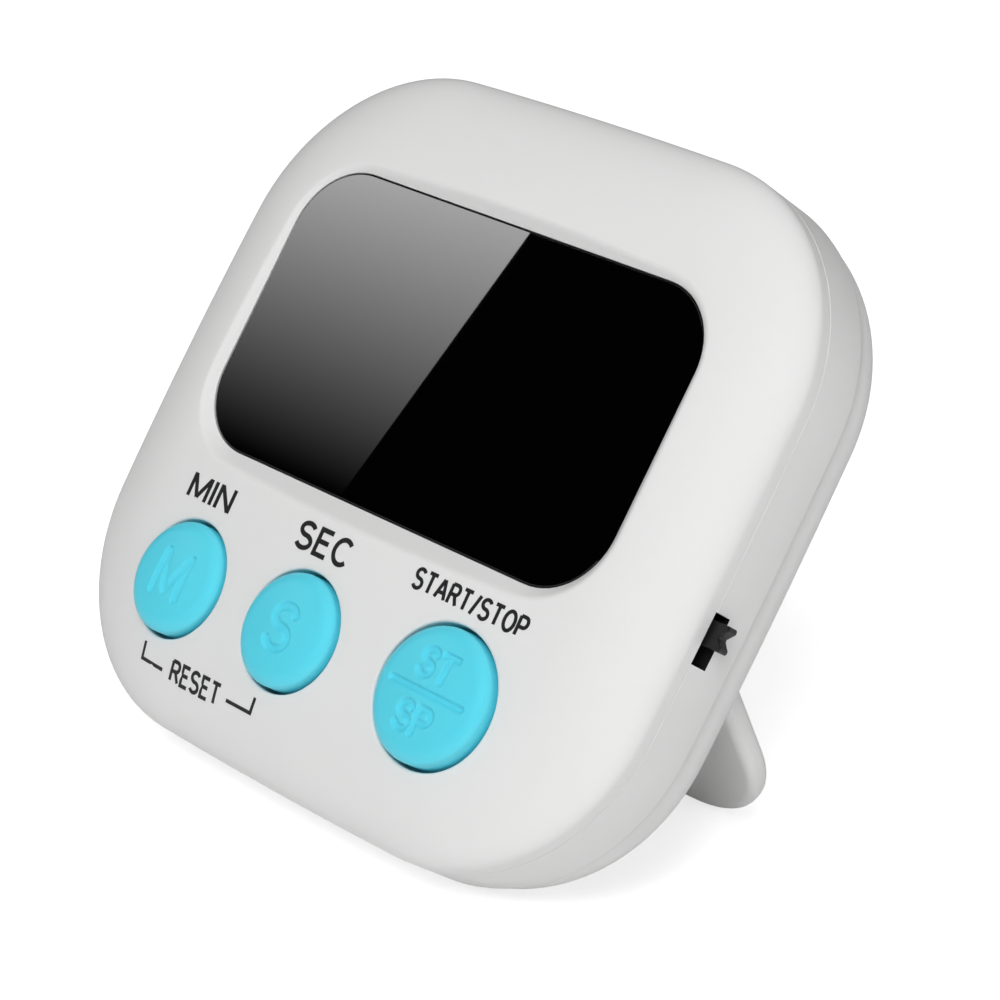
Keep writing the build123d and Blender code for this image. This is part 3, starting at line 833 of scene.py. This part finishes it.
@dataclass(frozen=True)
class RearShell:
    """The rear half: a small step below the seam, a rounded back edge, and the back's pockets and holes.

    A pocket is its X, Y, radius and the height of its floor, and the sound holes are their middle's X and
    Y, their radius and their pitch. The switch's slot is its lower and upper end and its floor. A profile
    is pairs of a depth inside the outline and a height.
    """

    back: float = -10.4
    edge_r: float = 4.0
    step_in: float = 0.5
    lining_z: float = -8.0
    plate_inset: float = 1.1
    chamfer: float = 0.06
    recess: SlabOutline = SlabOutline(0.0, -14.97, 27.8, 10.93, 9.8, 0.7)
    recess_floor: float = -7.996
    recess_edge: float = 0.25
    recess_fillet: float = 0.3
    slot: tuple[float, float, float] = (-6.8, -2.5, -1.9)
    cover: tuple[float, float, float, float] = (-11.5, 14.5, 8.8, -8.9)
    bay_r: float = 7.15
    sound: tuple[float, float, float, float] = (11.5, 14.5, 0.6, 2.6)
    magnet: tuple[float, float, float, float] = (16.5, 0.8, 3.6, -8.25)
    screw: tuple[float, float, float, float] = (23.5, 19.5, 2.1, -8.6)
    deep_screw: tuple[float, float, float, float] = (21.5, -10.5, 2.1, -6.596)
    small: float = 1.0
    soft_edges: tuple[float, float] = (0.12, 0.2)
    round_points: tuple[int, int] = (20, 64)
    cover_points: int = 96
    wall: float = 2.0
    step: tuple[tuple[float, float], ...] = (
        (0.0, -4.6),
        (0.05, -4.86),
        (0.18, -5.03),
        (0.36, -5.17),
        (0.46, -5.4),
        (0.5, -5.8),
    )
    lining_steps: tuple[tuple[float, float], ...] = (
        (2.5, -5.0),
        (2.9, -6.0),
        (3.4, -7.2),
        (4.5, -8.0),
    )
    ramp_rise: float = 1.8
    ramp_top: float = -1.5
    ramp_run: float = 2.0

    def height(self, x: Array, y: Array) -> Array:
        """Return the back's height: flat, and a quarter circle of the edge radius near the outline."""
        missing = self.step_in + self.edge_r - OUTLINE.depth(x, y)[0]
        short = np.clip(missing, 0.0, self.edge_r)
        return self.back + self.edge_r - np.sqrt(self.edge_r**2 - short**2)

    def lining(self, x: Array, y: Array) -> Array:
        """Return the lining's height, which depends on Y only: it ramps up over the flap's recess."""
        share = np.clip((self.ramp_top - y) / self.ramp_run, 0.0, 1.0)
        return self.lining_z + self.ramp_rise * share

    def pocket(
        self, skin: Skin, x: float, y: float, radius: float, top: float, floor: float | None
    ) -> Array:
        """Add a round pocket or hole with a softened edge.

        Args:
            skin: the shell's skin.
            x: centre.
            y: centre.
            radius: the pocket's radius.
            top: height of the surface that it is sunk into.
            floor: height of its flat floor, or None where it runs on.

        Returns:
            The loop on the surface.
        """
        wide = radius >= self.small
        count, soft = self.round_points[wide], self.soft_edges[wide]
        outer, hole = circle(x, y, radius + soft, count), circle(x, y, radius, count)
        edge = rounded(lift(outer, top), lift(hole, top), lift(hole, top + soft), 4)
        if floor is None:
            skin.strip(*edge, lift(hole, self.lining_z))
        else:
            skin.strip(*edge, lift(hole, floor))
            skin.cap(lift(hole, floor))
        return outer

    def sound_holes(self) -> list[tuple[float, float]]:
        """Return the centres of one hole and six round it."""
        x, y, _, pitch = self.sound
        turns = np.arange(6) * np.pi / 3
        return [(x, y), *((x + pitch * math.cos(t), y + pitch * math.sin(t)) for t in turns)]

    def openings(self, skin: Skin) -> tuple[list[Array], list[Array]]:
        """Add the back's holes and pockets and return their loops on the back and on the lining."""
        outer, inner = [], []
        for x, y in self.sound_holes():
            outer.append(self.pocket(skin, x, y, self.sound[2], self.back, None))
            inner.append(circle(x, y, self.sound[2], self.round_points[0]))
        for side in (-1, 1):
            for x, y, radius, floor in (self.magnet, self.screw):
                outer.append(self.pocket(skin, side * x, y, radius, self.back, floor))
        x, y, radius, seat = self.cover
        soft = self.soft_edges[1]
        radii = (radius + soft, radius, self.bay_r)
        rim, hole, bay = (circle(x, y, r, self.cover_points) for r in radii)
        edge = rounded(lift(rim, self.back), lift(hole, self.back), lift(hole, self.back + soft), 4)
        skin.strip(*edge, lift(hole, seat), lift(bay, seat), lift(bay, self.lining_z))
        outer.append(rim)
        inner.append(bay)
        return outer, inner

    def flap_recess(self, skin: Skin) -> Array:
        """Add the folded flap's recess, with two screw pockets in its floor, and return its edge."""
        outer, wall = self.recess.loop(self.recess_edge), self.recess.loop()
        top = self.height(outer[:, 0], outer[:, 1])
        mid = self.height(wall[:, 0], wall[:, 1])
        edge = rounded(lift(outer, top), lift(wall, mid), lift(wall, mid + self.recess_edge), 5)
        floor = self.recess.loop(-self.recess_fillet)
        low = self.recess_floor
        corner = (lift(wall, low - self.recess_fillet), lift(wall, low), lift(floor, low))
        skin.strip(*edge, *rounded(*corner, 4))
        x, y, radius, deep = self.deep_screw
        holes = [self.pocket(skin, side * x, y, radius, low, deep) for side in (-1, 1)]
        skin.plate(floor, holes, level(low), 2.0)
        return outer

    def walls(self, skin: Skin, headings: Array) -> None:
        """Add the outer wall, the lining's wall and the seam between them, with the switch's slot, whose
        floor and ends get painted shade in black.

        Args:
            skin: the shell's skin.
            headings: directions of the outline's normals, with one at each end of the slot.
        """
        low, high, deep = self.slot
        heights = OUTLINE.loop(headings)[:, 1]
        right = np.cos(headings) > 0
        first, last = (
            int(np.argmin(np.where(right, np.abs(heights - end), np.inf))) for end in (low, high)
        )
        notch = headings[first : last + 1]
        rest = np.concatenate([headings[last:], headings[: first + 1]])
        rim = (
            (0.0, deep),
            (0.0, -self.chamfer),
            (self.chamfer, 0.0),
            (self.wall, 0.0),
            (self.wall, deep),
        )
        skin.strip(*(lift(OUTLINE.loop(rest, d), z) for d, z in rim), closed=False)
        # The slot's floor and end faces take the black switch finish: painted shade in the slot, on
        # housing that is white plastic.
        skin.tint = 1
        skin.strip(*(lift(OUTLINE.loop(notch, d), deep) for d in (0.0, self.wall)), closed=False)
        for end in (notch[:1], notch[-1:]):
            skin.cap(np.concatenate([lift(OUTLINE.loop(end, d), z) for d, z in rim]))
        skin.tint = 0
        radius, base = self.edge_r, self.back + self.edge_r
        last_turn = math.acos((self.step_in + radius - self.plate_inset) / radius)
        bend = [
            (self.step_in + radius * (1 - math.cos(turn)), base - radius * math.sin(turn))
            for turn in np.linspace(0.0, last_turn, 12)
        ]
        profile = [(0.0, deep), *self.step, *bend]
        skin.strip(*(lift(OUTLINE.loop(headings, d), z) for d, z in profile))
        loops = [(OUTLINE.loop(headings, d), z) for d, z in ((self.wall, deep), *self.lining_steps)]
        skin.strip(*(lift(loop, np.maximum(z, self.lining(*loop.T))) for loop, z in loops))

    def build(self) -> None:
        """Make the walls, the back with its openings, and the lining."""
        skin = Skin()
        headings = OUTLINE.headings(self.slot[:2])
        self.walls(skin, headings)
        outer, inner = self.openings(skin)
        outer.append(self.flap_recess(skin))
        skin.plate(OUTLINE.loop(headings, self.plate_inset), outer, self.height, 0.6)
        skin.plate(OUTLINE.loop(headings, self.lining_steps[-1][0]), inner, self.lining, 1.0)
        # The second finish is the black switch finish, which paints the slot's floor and ends as painted
        # shade.
        looks = (Finishes.case_plastic, Finishes.switch_black)
        skin.build("rear_shell", "case", "case_plastic", *looks, node="rear_housing")


# ---------------------------------------------------------------- keys, switch and flap


def arc(x: float, y: float, half_w: float, half_h: float, start: float, end: float) -> Array:
    """Return points on an ellipse's arc between two angles in degrees.

    Args:
        x: the centre's X.
        y: the centre's Y.
        half_w: half the ellipse's width.
        half_h: half its height.
        start: the first angle.
        end: the last angle.

    Returns:
        Rows of centre plus (half_w cos, half_h sin), about twelve degrees apart.
    """
    turn = np.radians(np.linspace(start, end, max(3, int(abs(end - start) / 12))))
    return np.stack([x + half_w * np.cos(turn), y + half_h * np.sin(turn)], axis=1)


def bowl(low: float, width: float) -> Array:
    """Return the bowl of a P or an R, from the stem's top round to the stem again."""
    mid, half = (1.0 + low) / 2, (1.0 - low) / 2
    bend = arc(width - half * 0.8, mid, half * 0.8, half, 90, -90)
    return np.concatenate([[(0.0, 1.0)], bend, [(0.0, low)]])


def ess(width: float) -> Array:
    """Return the spine of an S: most of an upper ring running into most of a lower one."""
    half = width / 2
    upper = arc(half, 0.755, half * 0.94, 0.245, 25, 255)
    lower = arc(half, 0.255, half, 0.255, 75, -155)
    return np.concatenate([upper, lower])


class Lettering:
    """A plain narrow stroke alphabet: a letter is a width and the middle lines of its strokes."""

    gap = 0.24
    letters: dict[str, tuple[float, tuple]] = {
        "I": (0.0, ([(0, 0), (0, 1)],)),
        "M": (
            0.72,
            (
                [(0, 0), (0, 1)],
                [(0.02, 0.96), (0.36, 0.08)],
                [(0.36, 0.08), (0.7, 0.96)],
                [(0.72, 1), (0.72, 0)],
            ),
        ),
        "N": (0.56, ([(0, 0), (0, 1)], [(0.02, 0.96), (0.54, 0.04)], [(0.56, 0), (0.56, 1)])),
        "E": (0.46, ([(0.46, 1), (0, 1), (0, 0), (0.47, 0)], [(0, 0.53), (0.42, 0.53)])),
        "T": (0.54, ([(0, 1), (0.54, 1)], [(0.27, 1), (0.27, 0)])),
        "A": (0.62, ([(0, 0), (0.29, 1)], [(0.33, 1), (0.62, 0)], [(0.1, 0.33), (0.52, 0.33)])),
        "R": (0.54, ([(0, 0), (0, 1)], bowl(0.5, 0.52), [(0.3, 0.5), (0.55, 0)])),
        "P": (0.52, ([(0, 0), (0, 1)], bowl(0.46, 0.52))),
        "O": (0.64, (arc(0.32, 0.5, 0.32, 0.5, 0, 360),)),
        "C": (0.56, (arc(0.32, 0.5, 0.32, 0.5, 45, 315),)),
        "S": (0.54, (ess(0.54),)),
        "/": (0.3, ([(0, -0.03), (0.3, 1.03)],)),
    }

    def lines(self, words: str, height: float, width: float, stroke: float) -> list[Array]:
        """Return the middle lines of words, centred on the origin.

        Args:
            words: the text.
            height: height over the strokes, in mm.
            width: width over the strokes, in mm.
            stroke: the strokes' width, in mm.

        Returns:
            One array of X, Y for every line.
        """
        across, found = 0.0, []
        for letter in words:
            wide, paths = self.letters[letter]
            found += [np.array(path, float) + (across, 0.0) for path in paths]
            across += wide + self.gap
        across -= self.gap
        scale = np.array([(width - stroke) / across, height - stroke])
        return [(path - (across / 2, 0.5)) * scale for path in found]


LETTERING = Lettering()


def away(points: Array, path: Array) -> Array:
    """Return each point's distance from a line of straight stretches."""
    a, run = path[:-1], np.diff(path, axis=0)
    share = ((points[:, None] - a) * run).sum(-1) / (run**2).sum(-1)
    foot = a + np.clip(share, 0.0, 1.0)[..., None] * run
    return np.sqrt(((points[:, None] - foot) ** 2).sum(-1).min(axis=1))


@dataclass(frozen=True)
class KeyShape:
    """A round key: a shallow dome with a broad soft edge, a retaining flange, and sunk letters."""

    proud: float = 1.25
    sag: float = 0.5
    edge: float = 1.1
    edge_drop: float = 0.62
    flange: float = 0.8
    flange_z: float = 2.4
    flange_t: float = 0.8
    groove: float = 0.3
    soft: float = 0.3
    bevel: float = 0.1
    grid: int = 181
    ease: float = 0.35

    def disc(self) -> Array:
        """Return a square grid bent into a unit disc, by the concentric map.

        The radius is the larger of |a| and |b|, and the angle runs evenly along each side of the square.
        The grid's lines are first drawn a little together towards the rim, as (1 - e) a + e sin(a pi/2).
        """
        side = np.linspace(-1.0, 1.0, self.grid)
        side = np.sin(side * np.pi / 2) * self.ease + side * (1.0 - self.ease)
        a, b = np.meshgrid(side, side)
        wide = np.abs(a) >= np.abs(b)
        radius = np.where(wide, a, b)
        other = np.where(wide, b, a)
        ratio = np.divide(other, radius, out=np.zeros_like(radius), where=radius != 0)
        turn = np.where(wide, ratio * np.pi / 4, np.pi / 2 - ratio * np.pi / 4)
        return np.stack([radius * np.cos(turn), radius * np.sin(turn)], axis=-1)

    def top(self, key: KeySize) -> Array:
        """Return the key's upper surface on the bent grid.

        The height is crown - sag * r^2, less edge_drop * (1 - sqrt(1 - t^2)) over the soft edge, less
        the groove's depth where the smoothed signed distance to the letters is inside.

        Args:
            key: the key's size and letters.

        Returns:
            The grid's points, shaped (grid, grid, 3).
        """
        flat = self.disc() * key.radius
        x, y = flat[..., 0].ravel(), flat[..., 1].ravel()
        r = np.hypot(x, y)
        t = np.clip((r - key.radius + self.edge) / self.edge, 0.0, 1.0)
        crown = float(FRONT.domed(np.array(key.x), np.array(key.y))) + self.proud
        z = crown - self.sag * (r / key.radius) ** 2 - self.edge_drop * (1.0 - np.sqrt(1.0 - t**2))
        lines = []
        for words, up, height, width in key.marks:
            drawn = LETTERING.lines(words, height, width, key.stroke)
            lines += [path + (0.0, up) for path in drawn]
        if key.bar:
            lines.append(np.array([(-key.bar / 2, 0.0), (key.bar / 2, 0.0)]))
        points = np.stack([x, y], axis=1)
        gap = np.min([away(points, path) for path in lines], axis=0)
        share = np.clip((key.stroke / 2 - gap) / self.soft + 0.5, 0.0, 1.0)
        z -= self.groove * share**2 * (3.0 - 2.0 * share)
        return np.stack([x + key.x, y + key.y, z], axis=1).reshape(self.grid, self.grid, 3)

    def build(self, key: KeySize) -> None:
        """Make one key: the top, the wall, the flange and the flat underside."""
        top = self.top(key)
        skin = Skin()
        n = self.grid
        index = np.arange(n * n).reshape(n, n)
        quads = np.stack([index[:-1, :-1], index[:-1, 1:], index[1:, 1:], index[1:, :-1]], axis=-1)
        skin.add(top.reshape(-1, 3), quads.reshape(-1, 4))
        ring = np.concatenate([top[0, :-1], top[:-1, -1], top[-1, :0:-1], top[:0:-1, 0]])
        out = (ring[:, :2] - (key.x, key.y)) / key.radius
        flange_top = self.flange_z + self.flange_t
        loops = [ring]
        for radius, z in (
            (key.radius, flange_top),
            (key.radius + self.flange - self.bevel, flange_top),
            (key.radius + self.flange, flange_top - self.bevel),
            (key.radius + self.flange, self.flange_z),
        ):
            loops.append(lift(out * radius + (key.x, key.y), z))
        skin.strip(*loops)
        skin.cap(loops[-1])
        skin.build(key.node + "_cap", key.body, "key_blue", Finishes.key_blue, node=key.node)


@dataclass(frozen=True)
class Flap:
    """The fold-out stand: a thin plate with two round lobes, a hinge barrel, and a heel that stops it."""

    outline: SlabOutline = SlabOutline(0.0, -15.9, 27.5, 9.7, 9.5, 1.3)
    pocket: SlabOutline = SlabOutline(0.0, -21.6, 7.0, 2.0, 1.8, 1.8, 10, 10)
    low: float = -10.4
    thick: float = 2.2
    round: float = 0.92
    deep: float = 0.5
    dish: tuple[float, ...] = (0.2, 0.0, -0.1, -0.15, -0.45)
    hinge_y: float = -6.2
    hinge_z: float = -9.3
    heel: float = 1.5
    heel_drop: float = 0.15
    heel_inset: float = 0.1
    barrel_soft: float = 0.15
    pin_r: float = 0.8
    pin_l: float = 1.2
    pin_root: float = 0.5
    pin_soft: float = 0.12
    open: float = 62.0

    def prism(self, skin: Skin, section: Array, start: float, end: float, soft: float) -> None:
        """Add a bar along X with a closed section and softened ends.

        Args:
            skin: the piece's skin.
            section: rows of Y, Z.
            start: X of one end.
            end: X of the other end.
            soft: how far the ends are bevelled.
        """
        middle = section.mean(axis=0)
        shrink = 1.0 - soft / np.abs(section - middle).max()
        small = middle + (section - middle) * shrink
        stops = ((start, small), (start + soft, section), (end - soft, section), (end, small))
        loops = [np.column_stack([np.full(len(s), x), s]) for x, s in stops]
        skin.strip(*loops)
        skin.cap(loops[0])
        skin.cap(loops[-1])

    def plate(self, skin: Skin) -> None:
        """Add the plate with its rounded edges and the finger pocket in its upper side."""
        top = self.low + self.thick
        turn = np.linspace(0.0, np.pi / 2, 8)
        rise = [
            (self.round * (math.sin(t) - 1), self.low + self.round * (1 - math.cos(t))) for t in turn
        ]
        fall = [(g, top + self.low - z) for g, z in reversed(rise)]
        skin.strip(*(lift(self.outline.loop(g), z) for g, z in rise + fall))
        edge = self.outline.loop(-self.round)
        skin.plate(edge, [], level(self.low), 2.0)
        rim, wall, shoulder, corner, floor = (self.pocket.loop(grow) for grow in self.dish)
        base = top - self.deep
        bend = lift(shoulder, top - self.dish[0])
        soft = rounded(lift(rim, top), lift(wall, top), bend, 4)
        skin.strip(*soft, *rounded(bend, lift(corner, base), lift(floor, base), 5)[1:])
        skin.plate(floor, [], level(base), 1.0)
        skin.plate(edge, [rim], level(top), 1.4)

    def build(self) -> None:
        """Make the folded flap and swing it out to its rest position."""
        skin = Skin()
        self.plate(skin)
        radius, half = self.thick / 2, self.outline.half_w
        y, z = self.hinge_y, self.hinge_z
        self.prism(skin, circle(y, z, radius, 40), -half, half, self.barrel_soft)
        far = y + self.heel
        heel = np.array([(y, z - radius), (far, z - radius), (far, z - self.heel_drop), (y, z)])
        inset = self.heel_inset
        self.prism(skin, heel, -half + inset, half - inset, inset)
        for side in (-1, 1):
            ends = sorted((side * (half - self.pin_root), side * (half + self.pin_l)))
            self.prism(skin, circle(y, z, self.pin_r, 28), ends[0], ends[1], self.pin_soft)
        swing = math.radians(self.open)
        cos, sin = math.cos(swing), math.sin(swing)
        for patch in skin.points:
            py, pz = patch[:, 1] - y, patch[:, 2] - z
            patch[:, 1], patch[:, 2] = y + py * cos - pz * sin, z + py * sin + pz * cos
        skin.build("flap", "stand", "case_plastic", Finishes.case_plastic, node="stand")


@dataclass(frozen=True)
class Knob:
    """The slide switch's black knob: a notched block on a wider carriage."""

    y: float = -4.1
    length: float = 2.1
    z: float = -1.0
    half_t: float = 0.6
    inner: float = 27.25
    end: float = 32.4
    notch: float = 0.55
    mouth: float = 0.3
    pit: float = 0.1
    carriage: float = 4.4
    carriage_w: float = 1.6
    bevel: float = 0.12
    middle: float = 29.0
    shrink: float = 0.03
    sharp: float = math.radians(25.0)

    def build(self) -> None:
        """Make the outline in X and Y, and carry it through the thickness with bevelled edges."""
        half, mouth, wide = self.length / 2, self.length * self.mouth, self.carriage / 2
        b, end, inner = self.bevel, self.end, self.inner
        back, pit = inner - self.carriage_w, end - self.notch
        upper = [
            (pit, self.pit),
            (end - b / 2, mouth),
            (end, mouth + b / 2),
            (end, half - b),
            (end - b, half),
            (inner, half),
            (inner, wide),
            (back, wide),
        ]
        lower = [(x, -y) for x, y in reversed(upper)]
        outline = np.array(lower + upper) + (0.0, self.y)
        small = outline + (np.array([self.middle, self.y]) - outline) * self.shrink
        low, high = self.z - self.half_t, self.z + self.half_t
        skin = Skin()
        stops = ((low, small), (low + b, outline), (high - b, outline), (high, small))
        skin.strip(*(lift(flat, z) for z, flat in stops))
        for z in (low, high):
            skin.plate(small, [], level(z), 3.0)
        looks = Finishes.switch_black
        skin.build(
            "switch_knob",
            "power_switch",
            "switch_black",
            looks,
            node="slide_switch_knob",
            sharp=self.sharp,
        )


# ---------------------------------------------------------------- printed labels


@dataclass(frozen=True)
class Label:
    """One printed word: its centre, the height of its capitals and the width that it fills."""

    words: str
    x: float
    y: float
    height: float
    width: float


@dataclass(frozen=True)
class Print:
    """The dark print on the face: four words, and the brackets that tie RESET to the two round keys."""

    labels: tuple[Label, ...] = (
        Label("MIN", -16.7, -10.65, 2.45, 5.75),
        Label("SEC", -2.35, -10.5, 2.45, 6.3),
        Label("START/STOP", 13.8, -9.75, 1.85, 12.1),
        Label("RESET", -9.85, -25.15, 1.9, 6.5),
    )
    brackets: tuple[tuple[tuple[float, float], ...], ...] = (
        ((-17.05, -24.0), (-17.0, -25.4), (-14.1, -25.5)),
        ((-5.75, -25.2), (-2.72, -25.2), (-2.62, -23.9)),
    )
    stroke: float = 0.3
    bold: float = 0.165
    thick: float = 0.012
    proud: float = 0.012

    def ribbon(self, skin: Skin, path: Array, width: float) -> None:
        """Lay a flat stroke on the face: a thin oblong section carried along a line, mitred at its bends.

        Args:
            skin: the piece's skin.
            path: the stroke's middle line, in the case's X and Y.
            width: the stroke's width.
        """
        whole = bool(np.allclose(path[0], path[-1]))
        ahead = np.diff(path, axis=0)
        ahead /= np.linalg.norm(ahead, axis=1)[:, None]
        normal = np.stack([-ahead[:, 1], ahead[:, 0]], axis=1)
        before = np.concatenate([normal[-1:] if whole else normal[:1], normal])
        after = np.concatenate([normal, normal[:1] if whole else normal[-1:]])
        left = before + after
        left /= np.linalg.norm(left, axis=1)[:, None]
        reach = width / 2 / np.clip((left * before).sum(axis=1), 0.5, 1.0)[:, None]
        sides = (path + left * reach, path - left * reach)
        z = [FRONT.height(side[:, 0], side[:, 1]) + self.proud for side in sides]
        corners = ((0, -self.thick), (0, self.thick), (1, self.thick), (1, -self.thick))
        section = np.stack([lift(sides[k], z[k] + up) for k, up in corners], axis=1)
        skin.strip(*section)
        if not whole:
            skin.cap(section[0])
            skin.cap(section[-1])

    def word(self, label: Label) -> None:
        """Print one word over its height and width."""
        skin = Skin()
        stroke = label.height * self.bold
        for path in LETTERING.lines(label.words, label.height, label.width, stroke):
            self.ribbon(skin, path + (label.x, label.y), stroke)
        name = "label_" + label.words.lower().replace("/", "_")
        skin.build(name, "case", "switch_black", Finishes.ink)

    def bracket(self, index: int, path: tuple[tuple[float, float], ...]) -> None:
        """Print one bracket of two straight strokes."""
        skin = Skin()
        self.ribbon(skin, np.array(path), self.stroke)
        skin.build(f"label_bracket_{index + 1}", "case", "switch_black", Finishes.ink)

    def build(self) -> None:
        """Print every word and bracket."""
        for label in self.labels:
            self.word(label)
        for index, path in enumerate(self.brackets):
            self.bracket(index, path)


# ---------------------------------------------------------------- camera, lights and floor


@dataclass(frozen=True)
class Camera:
    """A long lens that looks down and leftward at the face from the right, with angles in degrees.

    The turn is to the left of +Y and the dip is below the horizon. The roll is in radians.
    """

    place: tuple[float, float, float] = (0.17562, -0.16646, 0.13558)
    turn: float = 45.9906
    dip: float = 24.714
    focal: float = 117.85
    sensor: float = 36.0
    near: float = 0.01
    roll: float = 0.00467

    def build(self) -> None:
        """Make the camera and take the scene's view through it."""
        data = bpy.data.cameras.new("camera")
        data.lens = self.focal
        data.sensor_width = self.sensor
        data.clip_start = self.near
        view = show("camera", data)
        turn, dip = math.radians(self.turn), math.radians(self.dip)
        flat = math.cos(dip)
        look = Vector((-math.sin(turn) * flat, math.cos(turn) * flat, -math.sin(dip)))
        aim = look.to_track_quat("-Z", "Y") @ Quaternion((0.0, 0.0, 1.0), self.roll)
        view.rotation_euler = aim.to_euler()
        view.location = self.place
        bpy.context.scene.camera = view


MIDDLE = (0.0, 0.0, 0.027)


@dataclass(frozen=True)
class SoftBox:
    """A square light that faces the middle of the timer, and that shiny pieces may or may not mirror."""

    name: str
    place: tuple[float, float, float]
    size: float
    power: float
    glossy: bool = True

    def build(self) -> None:
        """Make the light, aimed at the middle of the timer."""
        data = bpy.data.lights.new(self.name, "AREA")
        data.size = self.size
        data.energy = self.power
        lamp = show(self.name, data)
        lamp.location = self.place
        aim = Vector(MIDDLE) - Vector(self.place)
        lamp.rotation_euler = aim.to_track_quat("-Z", "Y").to_euler()
        lamp.visible_glossy = self.glossy


@dataclass(frozen=True)
class Studio:
    """A pale floor, soft lights mostly from the right, and a graded card for the window to mirror.

    The card's corners are where it shows in the window's plane, and its reach is how many times as far
    from the camera's mirrored place it hangs. Its grey is (slope * height - drop) to a power, and black
    where that would be less.
    """

    floor_half: float = 3.0
    floor_colour: Colour = (0.88, 0.88, 0.88)
    floor_glow: float = 0.66
    ambient: float = 0.13
    mirrored: float = 0.0
    backdrop: float = 1.0
    card_reach: float = 3.0
    card_power: float = 7.3
    card_slope: float = 1.25
    card_drop: float = 0.111
    card_curve: float = 1.5
    card_corners: tuple[tuple[float, float], ...] = (
        (-5.08, -9.5),
        (2.52, 22.5),
        (-30.0, 22.5),
        (-30.0, -9.5),
    )
    boxes: tuple[SoftBox, ...] = (
        SoftBox("key light", (0.34, -0.60, 0.92), 0.6, 8.7, False),
        SoftBox("side light", (1.0, 0.1, 0.42), 0.6, 1.3, False),
        SoftBox("low light", (0.85, -0.75, 0.12), 0.4, 0.9, False),
        SoftBox("flap light", (0.70, -0.75, 0.03), 0.3, 1.2, False),
        SoftBox("top light", (-0.1, 0.2, 1.1), 0.9, 1.3),
    )

    def world(self) -> None:
        """Light all round evenly, white where the camera sees it and dark where a shiny piece does."""
        made = bpy.data.worlds.new("studio")
        bpy.context.scene.world = made
        graph = Graph(made)
        path = graph.node("ShaderNodeLightPath")
        glossy = Value(graph, path.outputs["Is Glossy Ray"])
        seen = Value(graph, path.outputs["Is Camera Ray"])
        mirrored, backdrop = self.mirrored - self.ambient, self.backdrop - self.ambient
        grey = self.ambient + glossy * mirrored + seen * backdrop
        shade = graph.node("ShaderNodeBackground", None, {"Color": grey, "Strength": 1.0})
        graph.node("ShaderNodeOutputWorld", None, {"Surface": shade.outputs[0]})

    def sheet(self, name: str, points: list) -> tuple[bpy.types.Object, Graph]:
        """Make a four-cornered sheet that is part of the stage.

        Args:
            name: the sheet's and its material's name.
            points: its corners in order.

        Returns:
            The sheet, and its material's empty graph.
        """
        mesh = bpy.data.meshes.new(name)
        mesh.from_pydata(points, [], [(0, 1, 2, 3)])
        made = bpy.data.materials.new(name)
        mesh.materials.append(made)
        sheet = show(name, mesh)
        return sheet, Graph(made)

    def floor(self) -> None:
        """Lay a large plain sheet under the timer, which glows only where the camera sees it."""
        half = self.floor_half
        points = [(-half, -half, 0), (half, -half, 0), (half, half, 0), (-half, half, 0)]
        _, graph = self.sheet("floor", points)
        seen = graph.node("ShaderNodeLightPath").outputs["Is Camera Ray"]
        colour = {"Color": (*self.floor_colour, 1.0)}
        matt = graph.node("ShaderNodeBsdfDiffuse", None, colour).outputs[0]
        glow = graph.glow((1.0, 1.0, 1.0, 1.0), self.floor_glow)
        lit = graph.node("ShaderNodeAddShader", None, {0: matt, 1: glow}).outputs[0]
        pick = graph.node("ShaderNodeMixShader", None, {0: seen, 1: matt, 2: lit})
        graph.surface(pick.outputs[0])

    def card(self, camera: Camera) -> None:
        """Hang the card where the window mirrors it, along the rays from the camera's mirrored place.

        Args:
            camera: the camera whose view of the window is graded.
        """
        corners = LEAN.place(np.array([(x, y, LENS.top) for x, y in self.card_corners]))
        foot, tip = LEAN.place(np.array([(0.0, 0.0, 0.0), (0.0, 0.0, 1.0 / MM)]))
        normal = tip - foot
        eye = np.array(camera.place)
        behind = eye - 2.0 * ((eye - corners[0]) @ normal) * normal
        points = behind + (corners - behind) * self.card_reach
        sheet, graph = self.sheet("card", points.tolist())
        across = sheet.data.uv_layers.new(name="grade")
        across.data.foreach_set("uv", [1.0, 0.0, 1.0, 1.0, 0.0, 1.0, 0.0, 0.0])
        place = graph.node("ShaderNodeUVMap", {"uv_map": "grade"}).outputs[0]
        height = graph.value("ShaderNodeSeparateXYZ", 1, {0: place})
        rise = height * self.card_slope - self.card_drop
        grey = rise.maths("MAXIMUM", rise, 0.0) ** self.card_curve
        graph.surface(graph.glow(grey.socket, self.card_power))
        for ray in ("camera", "diffuse", "shadow", "transmission"):
            setattr(sheet, "visible_" + ray, False)

    def build(self, camera: Camera) -> None:
        """Make the world, floor, card and lights, and show colours as they are."""
        self.world()
        self.floor()
        self.card(camera)
        for box in self.boxes:
            box.build()
        bpy.context.scene.view_settings.view_transform = "Standard"


# ---------------------------------------------------------------- the whole timer


class Timer:
    """The lab timer: its detailed pieces, and the finishes of those that stay as the CAD made them."""

    def build(self) -> None:
        """Make the pieces in order, from the case outward."""
        FrontShell().build()
        RearShell().build()
        LENS.build()
        shape = KeyShape()
        for key in KEYS:
            shape.build(key)
        Knob().build()
        Flap().build()
        Print().build()
        self.dress_nodes()

    def dress_nodes(self) -> None:
        """Give every CAD piece the finish that its material slot is named after."""
        names = {finish.name for finish in Finishes}
        for node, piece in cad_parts.items():
            for place in piece.material_slots:
                slot = place.material.name.split(".")[0] if place.material else ""
                if slot in names:
                    place.material = Finishes[slot].value.make()
                else:
                    LOG.info("%s keeps its finish %s", node, slot)


def main() -> None:
    """Build the timer, its camera and its studio."""
    logging.basicConfig(level=logging.INFO, format="%(message)s")
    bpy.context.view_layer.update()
    Timer().build()
    camera = Camera()
    camera.build()
    Studio().build(camera)


if __name__ == "__main__":
    main()
